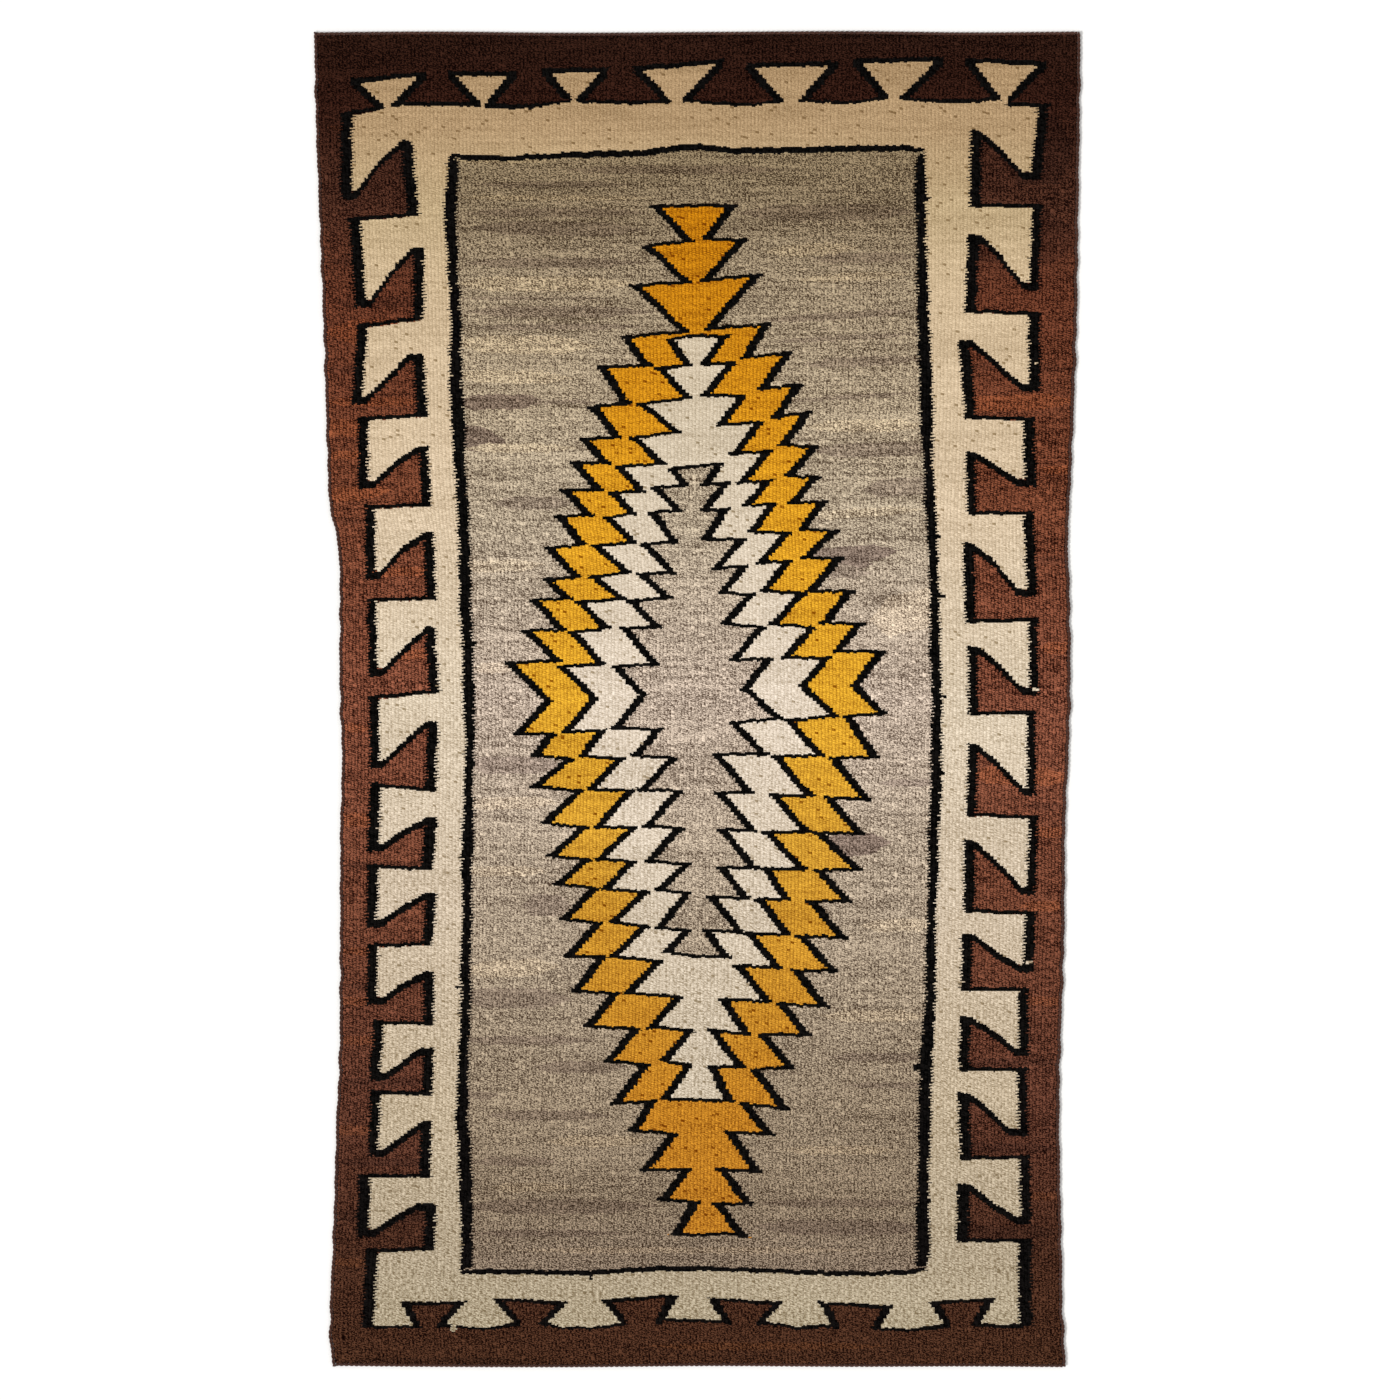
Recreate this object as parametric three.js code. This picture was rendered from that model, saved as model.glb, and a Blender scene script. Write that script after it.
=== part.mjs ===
// A handwoven wool floor rug, lying flat and face up.
//
// The rug is a weft-faced tapestry: the wefts of brown, cream, grey, gold and black wool cover the
// warps completely, so the cloth is one firm slab with no fringe. Its four edges are finished by
// selvedge cords, two-ply wool cords that are twined round the outer warps and the ends of the
// warps while the rug is woven. The cloth draws in as the weaver works, so the sides aren't
// straight: the rug is widest at the end that is woven last.
//
// Frame: millimetres, +X across the rug, +Y along the warps, +Z up. The origin is on the floor,
// under the middle of the rug's box.

import * as THREE from 'three';

// Driving sizes
const HALF_LENGTH = 835;
const CLOTH_THICKNESS = 4;
const CORD_DIAMETER = 4.4;
const SEAM_GAP = 0.5;
const EDGE_ROUNDING = 1;
const OUTLINE_STEP = 12;
const CORD_SIDES = 8;

// Where the selvedges lie, a row for each place where a side bends. `along` is the distance from
// the middle of the rug towards its wide end, `left` and `right` are the outer faces of the cords.
const SIDE_BENDS = [
  { along: 835, left: -480, right: 480 },
  { along: 730, left: -478, right: 479 },
  { along: 595, left: -473, right: 477 },
  { along: 460, left: -468, right: 475 },
  { along: 325, left: -464, right: 470 },
  { along: 238, left: -460, right: 466 },
  { along: 200, left: -451, right: 464 },
  { along: 150, left: -448, right: 466 },
  { along: 20, left: -448, right: 467.5 },
  { along: -80, left: -445, right: 464.5 },
  { along: -150, left: -447, right: 461 },
  { along: -300, left: -447.5, right: 459.5 },
  { along: -450, left: -448.5, right: 454.5 },
  { along: -525, left: -452, right: 453.5 },
  { along: -600, left: -454, right: 454.5 },
  { along: -690, left: -457, right: 456.5 },
  { along: -760, left: -460, right: 457.5 },
  { along: -805, left: -460, right: 460 },
  { along: -835, left: -456, right: 461.5 },
];

// How far the two ends stand back from the rug's full length, a row for each place across it.
const END_BENDS = [
  { across: -480, wideEnd: 1.5, narrowEnd: 2 },
  { across: -330, wideEnd: 0.5, narrowEnd: 0.5 },
  { across: -160, wideEnd: 2, narrowEnd: 0 },
  { across: 20, wideEnd: 1, narrowEnd: 1.5 },
  { across: 190, wideEnd: 0, narrowEnd: 0.5 },
  { across: 340, wideEnd: 1.5, narrowEnd: 1 },
  { across: 480, wideEnd: 0.5, narrowEnd: 0 },
];

// The beat of the weft pulls the edges in and out a little, all along them.
const EDGE_RIPPLE = 0.7;
const RIPPLE_LENGTHS = [71, 43];

// Reads a column of a table of bends at any place, on a smooth curve through its rows.
function smoothColumn(rows, place, column) {
  const sorted = [...rows].sort((a, b) => a[place] - b[place]);
  const slopeBetween = (a, b) => (b[column] - a[column]) / (b[place] - a[place]);
  const slopes = sorted.map((row, i) => {
    const before = sorted[Math.max(i - 1, 0)];
    const after = sorted[Math.min(i + 1, sorted.length - 1)];
    return slopeBetween(before, after);
  });
  return (at) => {
    let i = 0;
    while (i < sorted.length - 2 && at > sorted[i + 1][place]) {
      i += 1;
    }
    const [a, b] = [sorted[i], sorted[i + 1]];
    const span = b[place] - a[place];
    const t = Math.min(Math.max((at - a[place]) / span, 0), 1);
    const rise = t * t * (3 - 2 * t);
    const leave = t * (1 - t) * (1 - t) * span * slopes[i];
    const arrive = t * t * (t - 1) * span * slopes[i + 1];
    return a[column] + (b[column] - a[column]) * rise + leave + arrive;
  };
}

function ripple(at, phase) {
  const waves = RIPPLE_LENGTHS.map((length, i) => Math.sin((2 * Math.PI * at) / length + phase + i));
  return (EDGE_RIPPLE * (waves[0] + waves[1])) / 2;
}

const leftBends = smoothColumn(SIDE_BENDS, 'along', 'left');
const rightBends = smoothColumn(SIDE_BENDS, 'along', 'right');
const wideBends = smoothColumn(END_BENDS, 'across', 'wideEnd');
const narrowBends = smoothColumn(END_BENDS, 'across', 'narrowEnd');

// The outer faces of the four cords. The ripples only draw them inwards.
const leftEdge = (y) => leftBends(y) + EDGE_RIPPLE + ripple(y, 0.4);
const rightEdge = (y) => rightBends(y) - EDGE_RIPPLE + ripple(y, 2.1);
const wideEdge = (x) => HALF_LENGTH - wideBends(x);
const narrowEdge = (x) => -HALF_LENGTH + narrowBends(x);

// Evenly spaced places from one value to another, both of them included.
function spaced(from, to) {
  const count = Math.max(Math.round(Math.abs(to - from) / OUTLINE_STEP), 1);
  return Array.from({ length: count + 1 }, (_, i) => from + ((to - from) * i) / count);
}

const clothInset = CORD_DIAMETER + SEAM_GAP;

// The cloth fills the space inside the cords, one seam gap away from them all round.
function clothOutline() {
  const inset = clothInset + EDGE_ROUNDING;
  const left = (y) => leftEdge(y) + inset;
  const right = (y) => rightEdge(y) - inset;
  const top = (x) => wideEdge(x) - inset;
  const bottom = (x) => narrowEdge(x) + inset;
  const high = HALF_LENGTH - inset - EDGE_ROUNDING;
  const low = -high;
  const points = [];
  spaced(left(low), right(low)).forEach((x) => points.push(new THREE.Vector2(x, bottom(x))));
  spaced(low, high).slice(1, -1).forEach((y) => points.push(new THREE.Vector2(right(y), y)));
  spaced(right(high), left(high)).forEach((x) => points.push(new THREE.Vector2(x, top(x))));
  spaced(high, low).slice(1, -1).forEach((y) => points.push(new THREE.Vector2(left(y), y)));
  return points;
}

// The woven slab, with its long upper and lower edges rounded off.
function makeCloth() {
  const geometry = new THREE.ExtrudeGeometry(new THREE.Shape(clothOutline()), {
    depth: CLOTH_THICKNESS - 2 * EDGE_ROUNDING,
    bevelThickness: EDGE_ROUNDING,
    bevelSize: EDGE_ROUNDING,
    bevelSegments: 1,
    steps: 1,
  });
  geometry.translate(0, 0, EDGE_ROUNDING);
  return geometry;
}

// A cord's section, with a flat to lie on.
function cordSection() {
  const radius = CORD_DIAMETER / 2 / Math.cos(Math.PI / CORD_SIDES);
  const corners = Array.from({ length: CORD_SIDES }, (_, i) => {
    const angle = ((i + 0.5) * 2 * Math.PI) / CORD_SIDES;
    return new THREE.Vector2(radius * Math.cos(angle), radius * Math.sin(angle));
  });
  return new THREE.Shape(corners);
}

function makeCord(points) {
  const path = new THREE.CatmullRomCurve3(points);
  return new THREE.ExtrudeGeometry(cordSection(), {
    extrudePath: path,
    steps: points.length - 1,
    bevelEnabled: false,
  });
}

// A side cord runs the whole length of its side.
function sideCordPath(edge, inwards) {
  const reach = HALF_LENGTH - SEAM_GAP;
  return spaced(-reach, reach).map((y) => new THREE.Vector3(
    edge(y) + (inwards * CORD_DIAMETER) / 2,
    y,
    CORD_DIAMETER / 2,
  ));
}

// An end cord runs between the two side cords.
function endCordPath(edge, inwards, along) {
  const from = leftEdge(along) + clothInset;
  const to = rightEdge(along) - clothInset;
  return spaced(from, to).map((x) => new THREE.Vector3(
    x,
    edge(x) + (inwards * CORD_DIAMETER) / 2,
    CORD_DIAMETER / 2,
  ));
}

const brownWool = new THREE.MeshStandardMaterial({ color: 0x5f3626, roughness: 0.95, metalness: 0 });
const cordWool = new THREE.MeshStandardMaterial({ color: 0x4a2a1e, roughness: 0.95, metalness: 0 });

function addPiece(group, name, geometry, material) {
  const mesh = new THREE.Mesh(geometry, material);
  mesh.name = name;
  group.add(mesh);
}

const rug = new THREE.Group();
addPiece(rug, 'rug_cloth', makeCloth(), brownWool);
addPiece(rug, 'side_cord_left', makeCord(sideCordPath(leftEdge, 1)), cordWool);
addPiece(rug, 'side_cord_right', makeCord(sideCordPath(rightEdge, -1)), cordWool);
addPiece(rug, 'end_cord_wide', makeCord(endCordPath(wideEdge, -1, HALF_LENGTH)), cordWool);
addPiece(rug, 'end_cord_narrow', makeCord(endCordPath(narrowEdge, 1, -HALF_LENGTH)), cordWool);

// The ripples leave the box a little off the middle, so every piece moves over together.
const middle = new THREE.Box3().setFromObject(rug).getCenter(new THREE.Vector3());
rug.children.forEach((piece) => piece.geometry.translate(-middle.x, -middle.y, 0));

export default rug;
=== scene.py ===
# %% [markdown]
# # A handwoven tapestry rug, woven in code
# The real rug is a flat, heavy cloth of handspun wool, woven on an upright loom. Its wefts are beaten
# down so hard that they hide the warps, and all that shows is rows of small wool beads on vertical
# ribs. The picture isn't printed: each bead is one turn of a coloured yarn over one warp.
#
# This lesson works as the weaver does. It draws a chart of the pattern with lines and outlines,
# asks of every stitch which yarn it takes, and builds the cloth rib by rib from the answers. The edge
# cords are twisted with Geometry Nodes. The frame comes first, because it fixes the rug's size.

# %% Load the frame
import math
from collections import namedtuple

import bpy
import numpy as np
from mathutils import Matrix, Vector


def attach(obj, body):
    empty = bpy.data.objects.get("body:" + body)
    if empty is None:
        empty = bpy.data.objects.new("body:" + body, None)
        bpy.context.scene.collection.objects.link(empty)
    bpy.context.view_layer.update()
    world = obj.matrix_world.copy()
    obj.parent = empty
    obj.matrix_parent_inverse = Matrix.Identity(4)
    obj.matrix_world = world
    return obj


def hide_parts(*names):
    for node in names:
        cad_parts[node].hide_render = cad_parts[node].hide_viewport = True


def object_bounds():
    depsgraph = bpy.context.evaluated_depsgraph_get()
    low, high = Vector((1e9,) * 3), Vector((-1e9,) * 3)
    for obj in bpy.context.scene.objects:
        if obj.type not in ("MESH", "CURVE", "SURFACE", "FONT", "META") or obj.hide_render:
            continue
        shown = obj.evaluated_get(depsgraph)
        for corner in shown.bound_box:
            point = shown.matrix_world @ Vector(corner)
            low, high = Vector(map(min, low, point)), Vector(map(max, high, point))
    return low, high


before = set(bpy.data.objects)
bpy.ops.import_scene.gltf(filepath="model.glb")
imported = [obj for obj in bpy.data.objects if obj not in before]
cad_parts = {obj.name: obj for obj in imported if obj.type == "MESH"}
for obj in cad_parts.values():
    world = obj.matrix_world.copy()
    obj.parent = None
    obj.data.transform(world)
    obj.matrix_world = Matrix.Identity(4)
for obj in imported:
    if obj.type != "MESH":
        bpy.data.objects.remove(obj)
cad_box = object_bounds()
print("CAD nodes:", sorted(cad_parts))
print("CAD box in metres:", [tuple(round(c, 4) for c in corner) for corner in cad_box])

# %% [markdown]
# ## Three helpers
# Colours are sRGB hex values, the way a dyer's card or a picture gives them, and Blender
# computes with linear light, so one function turns the first into the second. A second function
# adds one node with its settings and its inputs, which keeps the node trees short to read. A third
# one gives names to the columns of a table, so that its rows can be plain tuples.

# %% Colours, nodes and tables
def linear(hex_colour):
    channels = [int(hex_colour[i : i + 2], 16) / 255 for i in (1, 3, 5)]
    bent = [c / 12.92 if c <= 0.04045 else ((c + 0.055) / 1.055) ** 2.4 for c in channels]
    return (*bent, 1.0)


def add(tree, kind, settings=None, inputs=None):
    """Adds a node. An input is either another node's output, which is linked, or a plain value."""
    node = tree.nodes.new(kind)
    for name, value in (settings or {}).items():
        setattr(node, name, value)
    for name, value in (inputs or {}).items():
        if isinstance(value, bpy.types.NodeSocket):
            tree.links.new(value, node.inputs[name])
        else:
            node.inputs[name].default_value = value
    return node


def table(columns, rows):
    """A list of rows whose values go by the names of their columns."""
    row = namedtuple("row", columns)
    return [row(*values) for values in rows]


print("Linear value of a mid brown:", [round(c, 3) for c in linear("#6b3f2c")])

# %% [markdown]
# ## Chart squares
# The pattern is drawn on a chart whose square is 1.25 mm, counted from the top left as on paper.
# The rug's middle is the point 697, 699.25 on it. A square is one pixel of the photograph, and the
# points in the pattern's tables below were read off enlargements of it, under a grid of lines. So
# the tables can be read beside the rug, and one function leads from squares to metres.

# %% From the chart to the rug
SQUARE = 1.25
CHART_MIDDLE = (697, 699.25)
MM = 0.001


def to_chart(x_mm, y_mm):
    return CHART_MIDDLE[0] + x_mm / SQUARE, CHART_MIDDLE[1] - y_mm / SQUARE


print("The rug's middle on the chart:", to_chart(0, 0))

# %% [markdown]
# ## Camera, floor and light
# The rug is seen from straight above. A long lens from far up keeps its sides parallel. The light
# is a pale studio: a bright surrounding sky for the even tone, and one large soft lamp from the
# upper left, low enough to draw the ribs of the weave.

# %% Camera, floor and light
scene = bpy.context.scene
scene.view_settings.view_transform = "Standard"

PICTURE_SIDE = 1400
CAMERA_HEIGHT = 6.0
SENSOR = 36
VIEW_SIDE = PICTURE_SIDE * SQUARE * MM
view_middle = (
    (PICTURE_SIDE / 2 - CHART_MIDDLE[0]) * SQUARE * MM,
    (CHART_MIDDLE[1] - PICTURE_SIDE / 2) * SQUARE * MM,
)

camera_data = bpy.data.cameras.new("camera")
camera_data.sensor_width = SENSOR
camera_data.lens = SENSOR * CAMERA_HEIGHT / VIEW_SIDE
camera = bpy.data.objects.new("camera", camera_data)
camera.location = (*view_middle, CAMERA_HEIGHT)
scene.collection.objects.link(camera)
scene.camera = camera

FLOOR_REACH = 12
FLOOR_DROP = 0.0003
floor_corners = [(FLOOR_REACH * x, FLOOR_REACH * y, 0) for x, y in ((-1, -1), (1, -1), (1, 1), (-1, 1))]
floor_mesh = bpy.data.meshes.new("floor")
floor_mesh.from_pydata(floor_corners, [], [(0, 1, 2, 3)])
floor = bpy.data.objects.new("floor", floor_mesh)
floor.location.z = -FLOOR_DROP
scene.collection.objects.link(floor)
floor_paint = bpy.data.materials.new("matt white floor paint")
floor_paint.use_nodes = True
paint = floor_paint.node_tree.nodes["Principled BSDF"]
paint.inputs["Base Color"].default_value = linear("#fbfaf8")
paint.inputs["Roughness"].default_value = 0.9
floor_mesh.materials.append(floor_paint)

SKY_LIGHT, LAMP_LIGHT = 0.66, 2.0
LAMP_SPREAD = 12
LAMP_TILTS = (20, -42, 0)
world = bpy.data.worlds.new("studio")
world.use_nodes = True
sky = world.node_tree.nodes["Background"]
sky.inputs["Color"].default_value = linear("#ffffff")
sky.inputs["Strength"].default_value = SKY_LIGHT
scene.world = world

lamp_data = bpy.data.lights.new("soft lamp", "SUN")
lamp_data.energy = LAMP_LIGHT
lamp_data.angle = math.radians(LAMP_SPREAD)
lamp = bpy.data.objects.new("soft lamp", lamp_data)
lamp.rotation_euler = [math.radians(tilt) for tilt in LAMP_TILTS]
scene.collection.objects.link(lamp)
print("The view is", round(VIEW_SIDE, 3), "m wide through a", round(camera_data.lens), "mm lens")

# %% [markdown]
# ## The outline
# A weaver's edges aren't straight: the cloth draws in as the work goes on. These are the bends of
# the two sides and the two ends, in millimetres from the middle, with a smooth curve through them
# and a small ripple where the weft pulls. They are the same edges as the solid model has, so the
# woven cloth and its cords lie where the solids lie. Only the scallops between the turns of the
# cord are finer than the solids show, and they move a side by less than a millimetre.

# %% The rug's edges
SIDE_BENDS = table("along left right", [
    (835, -480, 480),
    (730, -478, 479),
    (595, -473, 477),
    (460, -468, 475),
    (325, -464, 470),
    (238, -460, 466),
    (200, -451, 464),
    (150, -448, 466),
    (20, -448, 467.5),
    (-80, -445, 464.5),
    (-150, -447, 461),
    (-300, -447.5, 459.5),
    (-450, -448.5, 454.5),
    (-525, -452, 453.5),
    (-600, -454, 454.5),
    (-690, -457, 456.5),
    (-760, -460, 457.5),
    (-805, -460, 460),
    (-835, -456, 461.5),
])
END_BENDS = table("across wide_end narrow_end", [
    (-480, 1.5, 2),
    (-330, 0.5, 0.5),
    (-160, 2, 0),
    (20, 1, 1.5),
    (190, 0, 0.5),
    (340, 1.5, 1),
    (480, 0.5, 0),
])
HALF_LENGTH = 835
EDGE_RIPPLE = 0.7
RIPPLE_LENGTHS = (71, 43)
EDGE_SCALLOP = 0.8
SCALLOP_LENGTHS = (39, 31)
LEFT_PHASE, RIGHT_PHASE = 0.4, 2.1
SCALLOP_LAG = 0.5
EDGE_SAMPLES = 400


def smooth_column(rows, place, column):
    """A smooth curve through one column of a table, as a function of another."""
    rows = sorted(rows, key=lambda row: getattr(row, place))
    p = np.array([getattr(row, place) for row in rows], float)
    v = np.array([getattr(row, column) for row in rows], float)
    before = np.maximum(np.arange(len(rows)) - 1, 0)
    after = np.minimum(np.arange(len(rows)) + 1, len(rows) - 1)
    slopes = (v[after] - v[before]) / (p[after] - p[before])

    def read(at):
        i = np.clip(np.searchsorted(p, at) - 1, 0, len(rows) - 2)
        span = p[i + 1] - p[i]
        t = np.clip((at - p[i]) / span, 0, 1)
        rise = t * t * (3 - 2 * t)
        leave = t * (1 - t) ** 2 * span * slopes[i]
        arrive = t * t * (t - 1) * span * slopes[i + 1]
        return v[i] + (v[i + 1] - v[i]) * rise + leave + arrive

    return read


def waves(at, phase, lengths):
    return sum(np.sin(2 * np.pi * at / length + phase + i) for i, length in enumerate(lengths)) / 2


def ripple(at, phase):
    return EDGE_RIPPLE * waves(at, phase, RIPPLE_LENGTHS)


def scallop(at, phase):
    return EDGE_SCALLOP * waves(at, phase + SCALLOP_LAG, SCALLOP_LENGTHS)


left_bends = smooth_column(SIDE_BENDS, "along", "left")
right_bends = smooth_column(SIDE_BENDS, "along", "right")
wide_bends = smooth_column(END_BENDS, "across", "wide_end")
narrow_bends = smooth_column(END_BENDS, "across", "narrow_end")

all_along = np.linspace(-HALF_LENGTH, HALF_LENGTH, EDGE_SAMPLES)
drawn_left = (left_bends(all_along) + EDGE_RIPPLE + ripple(all_along, LEFT_PHASE)).min()
SHIFT = cad_box[0].x / MM - drawn_left


def left_edge(y):
    return left_bends(y) + EDGE_RIPPLE + ripple(y, LEFT_PHASE) + SHIFT + scallop(y, LEFT_PHASE)


def right_edge(y):
    return right_bends(y) - EDGE_RIPPLE + ripple(y, RIGHT_PHASE) + SHIFT + scallop(y, RIGHT_PHASE)


def wide_edge(x):
    return HALF_LENGTH - wide_bends(x)


def narrow_edge(x):
    return -HALF_LENGTH + narrow_bends(x)


print("Widths at the narrow end, middle and wide end in mm:")
print([round(float(right_edge(y) - left_edge(y)), 1) for y in (-HALF_LENGTH, 0, HALF_LENGTH)])

# %% [markdown]
# ## The loom
# The warps are about 4.4 mm apart and the beads of weft about 2.7 mm high. On a weft-faced cloth a
# bead on one rib lies beside the gap between two beads on the next, because each throw of the weft
# shows on every other rib only. So a throw is half a bead high, and places are counted in half ribs
# and throws. An even line is the valley between two ribs and an odd one is a rib's crest. The
# smallest piece of colour is a stitch: half a rib wide and one throw high.

# %% Set up the loom
RIBS = 210
BEADS = 615
HALF_RIBS = 2 * RIBS
THROWS = 2 * BEADS
CORD_DIAMETER = 4.4
CORD_OVERLAP = 0.3
CLOTH_INSET = CORD_DIAMETER - CORD_OVERLAP

line_share = np.arange(HALF_RIBS + 1)[:, None] / HALF_RIBS
throw_share = np.arange(THROWS + 1)[None, :] / THROWS
rough_y = (2 * throw_share - 1) * (HALF_LENGTH - CLOTH_INSET)
cloth_left = left_edge(rough_y) + CLOTH_INSET
cloth_right = right_edge(rough_y) - CLOTH_INSET
place_x = cloth_left + (cloth_right - cloth_left) * line_share
cloth_bottom = narrow_edge(place_x) + CLOTH_INSET
cloth_top = wide_edge(place_x) - CLOTH_INSET
place_y = cloth_bottom + (cloth_top - cloth_bottom) * throw_share


def middles(grid):
    return (grid[:-1, :-1] + grid[1:, :-1] + grid[:-1, 1:] + grid[1:, 1:]) / 4


stitch_x, stitch_y = to_chart(middles(place_x), middles(place_y))
print("Stitches on the loom:", stitch_x.size)

# %% [markdown]
# ## A weaver's hand
# No line on a handwoven rug is drawn with a ruler. The wobble below moves the chart a little under
# the stitches, and a little chance is added for the hairy yarn. Where two colours meet along a
# warp, they turn round it by turns, which gives the edge fine teeth like a comb's. So a combed
# shape is moved to and fro under every few throws, some further and some less. Elsewhere a colour
# steps over by a whole rib at a time, so the two halves of a rib see nearly the same of the chart,
# and the weft isn't beaten down quite as far on one rib as on the next.
# A combed black line gets a little more room on both sides, because the teeth eat into it.

# %% Wobble and comb
WOBBLES = table("along across lead share", [
    (37, 260, 1, 0.5), (17.3, -190, 2.3, 0.35), (8.9, 57, 4.1, 0.3),
])


def wobble(along, across, seed, amount):
    turns = [along / w.along + across / w.across for w in WOBBLES]
    return amount * sum(w.share * np.sin(2 * np.pi * t + w.lead * seed) for w, t in zip(WOBBLES, turns))


SIDEWAYS, UPRIGHT = 0.7, 0.45
COMB_TURNS = (1.7, 0.2, -1.6)
COMB_DEPTHS = (0.15, 1.6)
COMB_REACH = 3
COMB_ROOM = 0.9
COMB_GROUP = 20
HAIR = 0.3
BEAT = 0.4
WHOLE_RIB_SHARE = 0.75
chance = np.random.default_rng(12)
hairy_x = stitch_x + wobble(stitch_y, stitch_x, 0.7, SIDEWAYS) + chance.normal(0, HAIR, stitch_x.shape)
beaten = chance.normal(0, BEAT, (RIBS, 1)).repeat(2, 0)
seen_y = stitch_y + wobble(stitch_x, stitch_y, 1.9, UPRIGHT) + beaten
rib_x = stitch_x.reshape(RIBS, 2, THROWS).mean(1).repeat(2, 0)
seen_x = hairy_x + WHOLE_RIB_SHARE * (rib_x - stitch_x)
turn = np.array(COMB_TURNS)[np.arange(THROWS) % len(COMB_TURNS)]
depth = chance.uniform(*COMB_DEPTHS, (HALF_RIBS // COMB_GROUP, THROWS)).repeat(COMB_GROUP, 0)
comb_x = hairy_x + turn * depth

YARNS = ["brown", "black", "cream", "gold", "grey", "rust", "umber", "dark_grey", "pale_grey",
         "deep_grey", "white"]
(BROWN, BLACK, CREAM, GOLD, GREY, RUST, UMBER, DARK_GREY, PALE_GREY,
 DEEP_GREY, WHITE) = range(len(YARNS))
loom = np.full(stitch_x.shape, BROWN)
rib_low, rib_high = seen_x.min(1), seen_x.max(1)
throw_low, throw_high = seen_y.min(0), seen_y.max(0)


def is_inside(outline, x, y):
    inside = np.zeros(x.shape, bool)
    for (x0, y0), (x1, y1) in zip(outline, outline[1:] + outline[:1]):
        if y0 != y1:
            passes = (y0 > y) != (y1 > y)
            inside ^= passes & (x < (x1 - x0) * (y - y0) / (y1 - y0) + x0)
    return inside


def weave(yarn, outline, combed=False, only_over=None):
    """Every stitch whose middle lies inside the outline becomes that yarn."""
    xs, ys = [x for x, _ in outline], [y for _, y in outline]
    ribs = np.flatnonzero((rib_high > min(xs) - COMB_REACH) & (rib_low < max(xs) + COMB_REACH))
    throws = np.flatnonzero((throw_high > min(ys) - COMB_REACH) & (throw_low < max(ys) + COMB_REACH))
    if len(ribs) == 0 or len(throws) == 0:
        return
    part = slice(ribs[0], ribs[-1] + 1), slice(throws[0], throws[-1] + 1)
    x = comb_x[part] if combed else seen_x[part]
    chosen = is_inside(outline, x, seen_y[part])
    if only_over is not None:
        chosen &= np.isin(loom[part], only_over)
    loom[part][chosen] = yarn


def counts():
    return {name: int((loom == code).sum()) for code, name in enumerate(YARNS)}


print("All stitches start as the ground:", counts())

# %% [markdown]
# ## Batches of wool
# Wool that is dyed or carded by the handful is never twice the same, and a weaver uses a batch up
# where it lies, in long low lenses. Each row below is such a lens: where it starts and stops across
# the rug, its middle height on the chart, how tall it is, and how much it climbs to the right.

# %% Charts of the batches
LENS = "yarn start stop middle tall climb"
BORDER_LENSES = table(LENS, [
    (UMBER, 330, 1066, 30, 18, 0),
    (RUST, 326, 420, 128, 10, 0),
    (UMBER, 1000, 1076, 150, 70, 0),
    (UMBER, 326, 440, 262, 12, 0),
    (UMBER, 940, 1090, 238, 52, 0),
    (UMBER, 326, 440, 302, 12, 0),
    (RUST, 320, 470, 331, 24, 3),
    (UMBER, 326, 370, 370, 8, 0),
    (RUST, 322, 430, 402, 9, 0),
    (RUST, 320, 372, 428, 17, 0),
    (UMBER, 955, 1076, 368, 9, -3),
    (RUST, 950, 1078, 403, 16, 5),
    (RUST, 322, 372, 455, 8, 2),
    (RUST, 322, 392, 493, 14, 7),
    (UMBER, 326, 380, 521, 6, 0),
    (RUST, 1040, 1076, 470, 8, 0),
    (UMBER, 1030, 1078, 560, 9, 0),
    (RUST, 372, 440, 572, 9, 0),
    (RUST, 1040, 1076, 648, 12, 0),
    (UMBER, 332, 446, 612, 8, 0),
    (RUST, 375, 440, 655, 10, 2),
    (RUST, 332, 372, 728, 9, 0),
    (RUST, 965, 1076, 776, 18, -3),
    (RUST, 336, 376, 820, 14, 0),
    (UMBER, 1024, 1072, 806, 8, 0),
    (RUST, 1020, 1074, 832, 10, 0),
    (UMBER, 336, 446, 866, 8, 0),
    (RUST, 1020, 1070, 906, 10, 0),
    (RUST, 336, 446, 950, 9, 3),
    (UMBER, 336, 440, 986, 6, 0),
    (RUST, 336, 380, 1001, 8, 0),
    (RUST, 1018, 1068, 1001, 9, 0),
    (RUST, 336, 384, 1040, 9, 0),
    (UMBER, 955, 1068, 1062, 8, 0),
    (UMBER, 330, 440, 1082, 8, 0),
    (RUST, 330, 376, 1130, 10, 0),
    (UMBER, 955, 1066, 1148, 10, 0),
    (UMBER, 330, 440, 1162, 8, 0),
    (RUST, 1016, 1066, 1196, 8, 0),
    (UMBER, 328, 440, 1216, 14, 0),
    (UMBER, 955, 1068, 1232, 12, 0),
    (RUST, 330, 372, 1262, 8, 0),
    (RUST, 640, 900, 1346, 7, 0),
    (UMBER, 330, 560, 1362, 9, 0),
])
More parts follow.
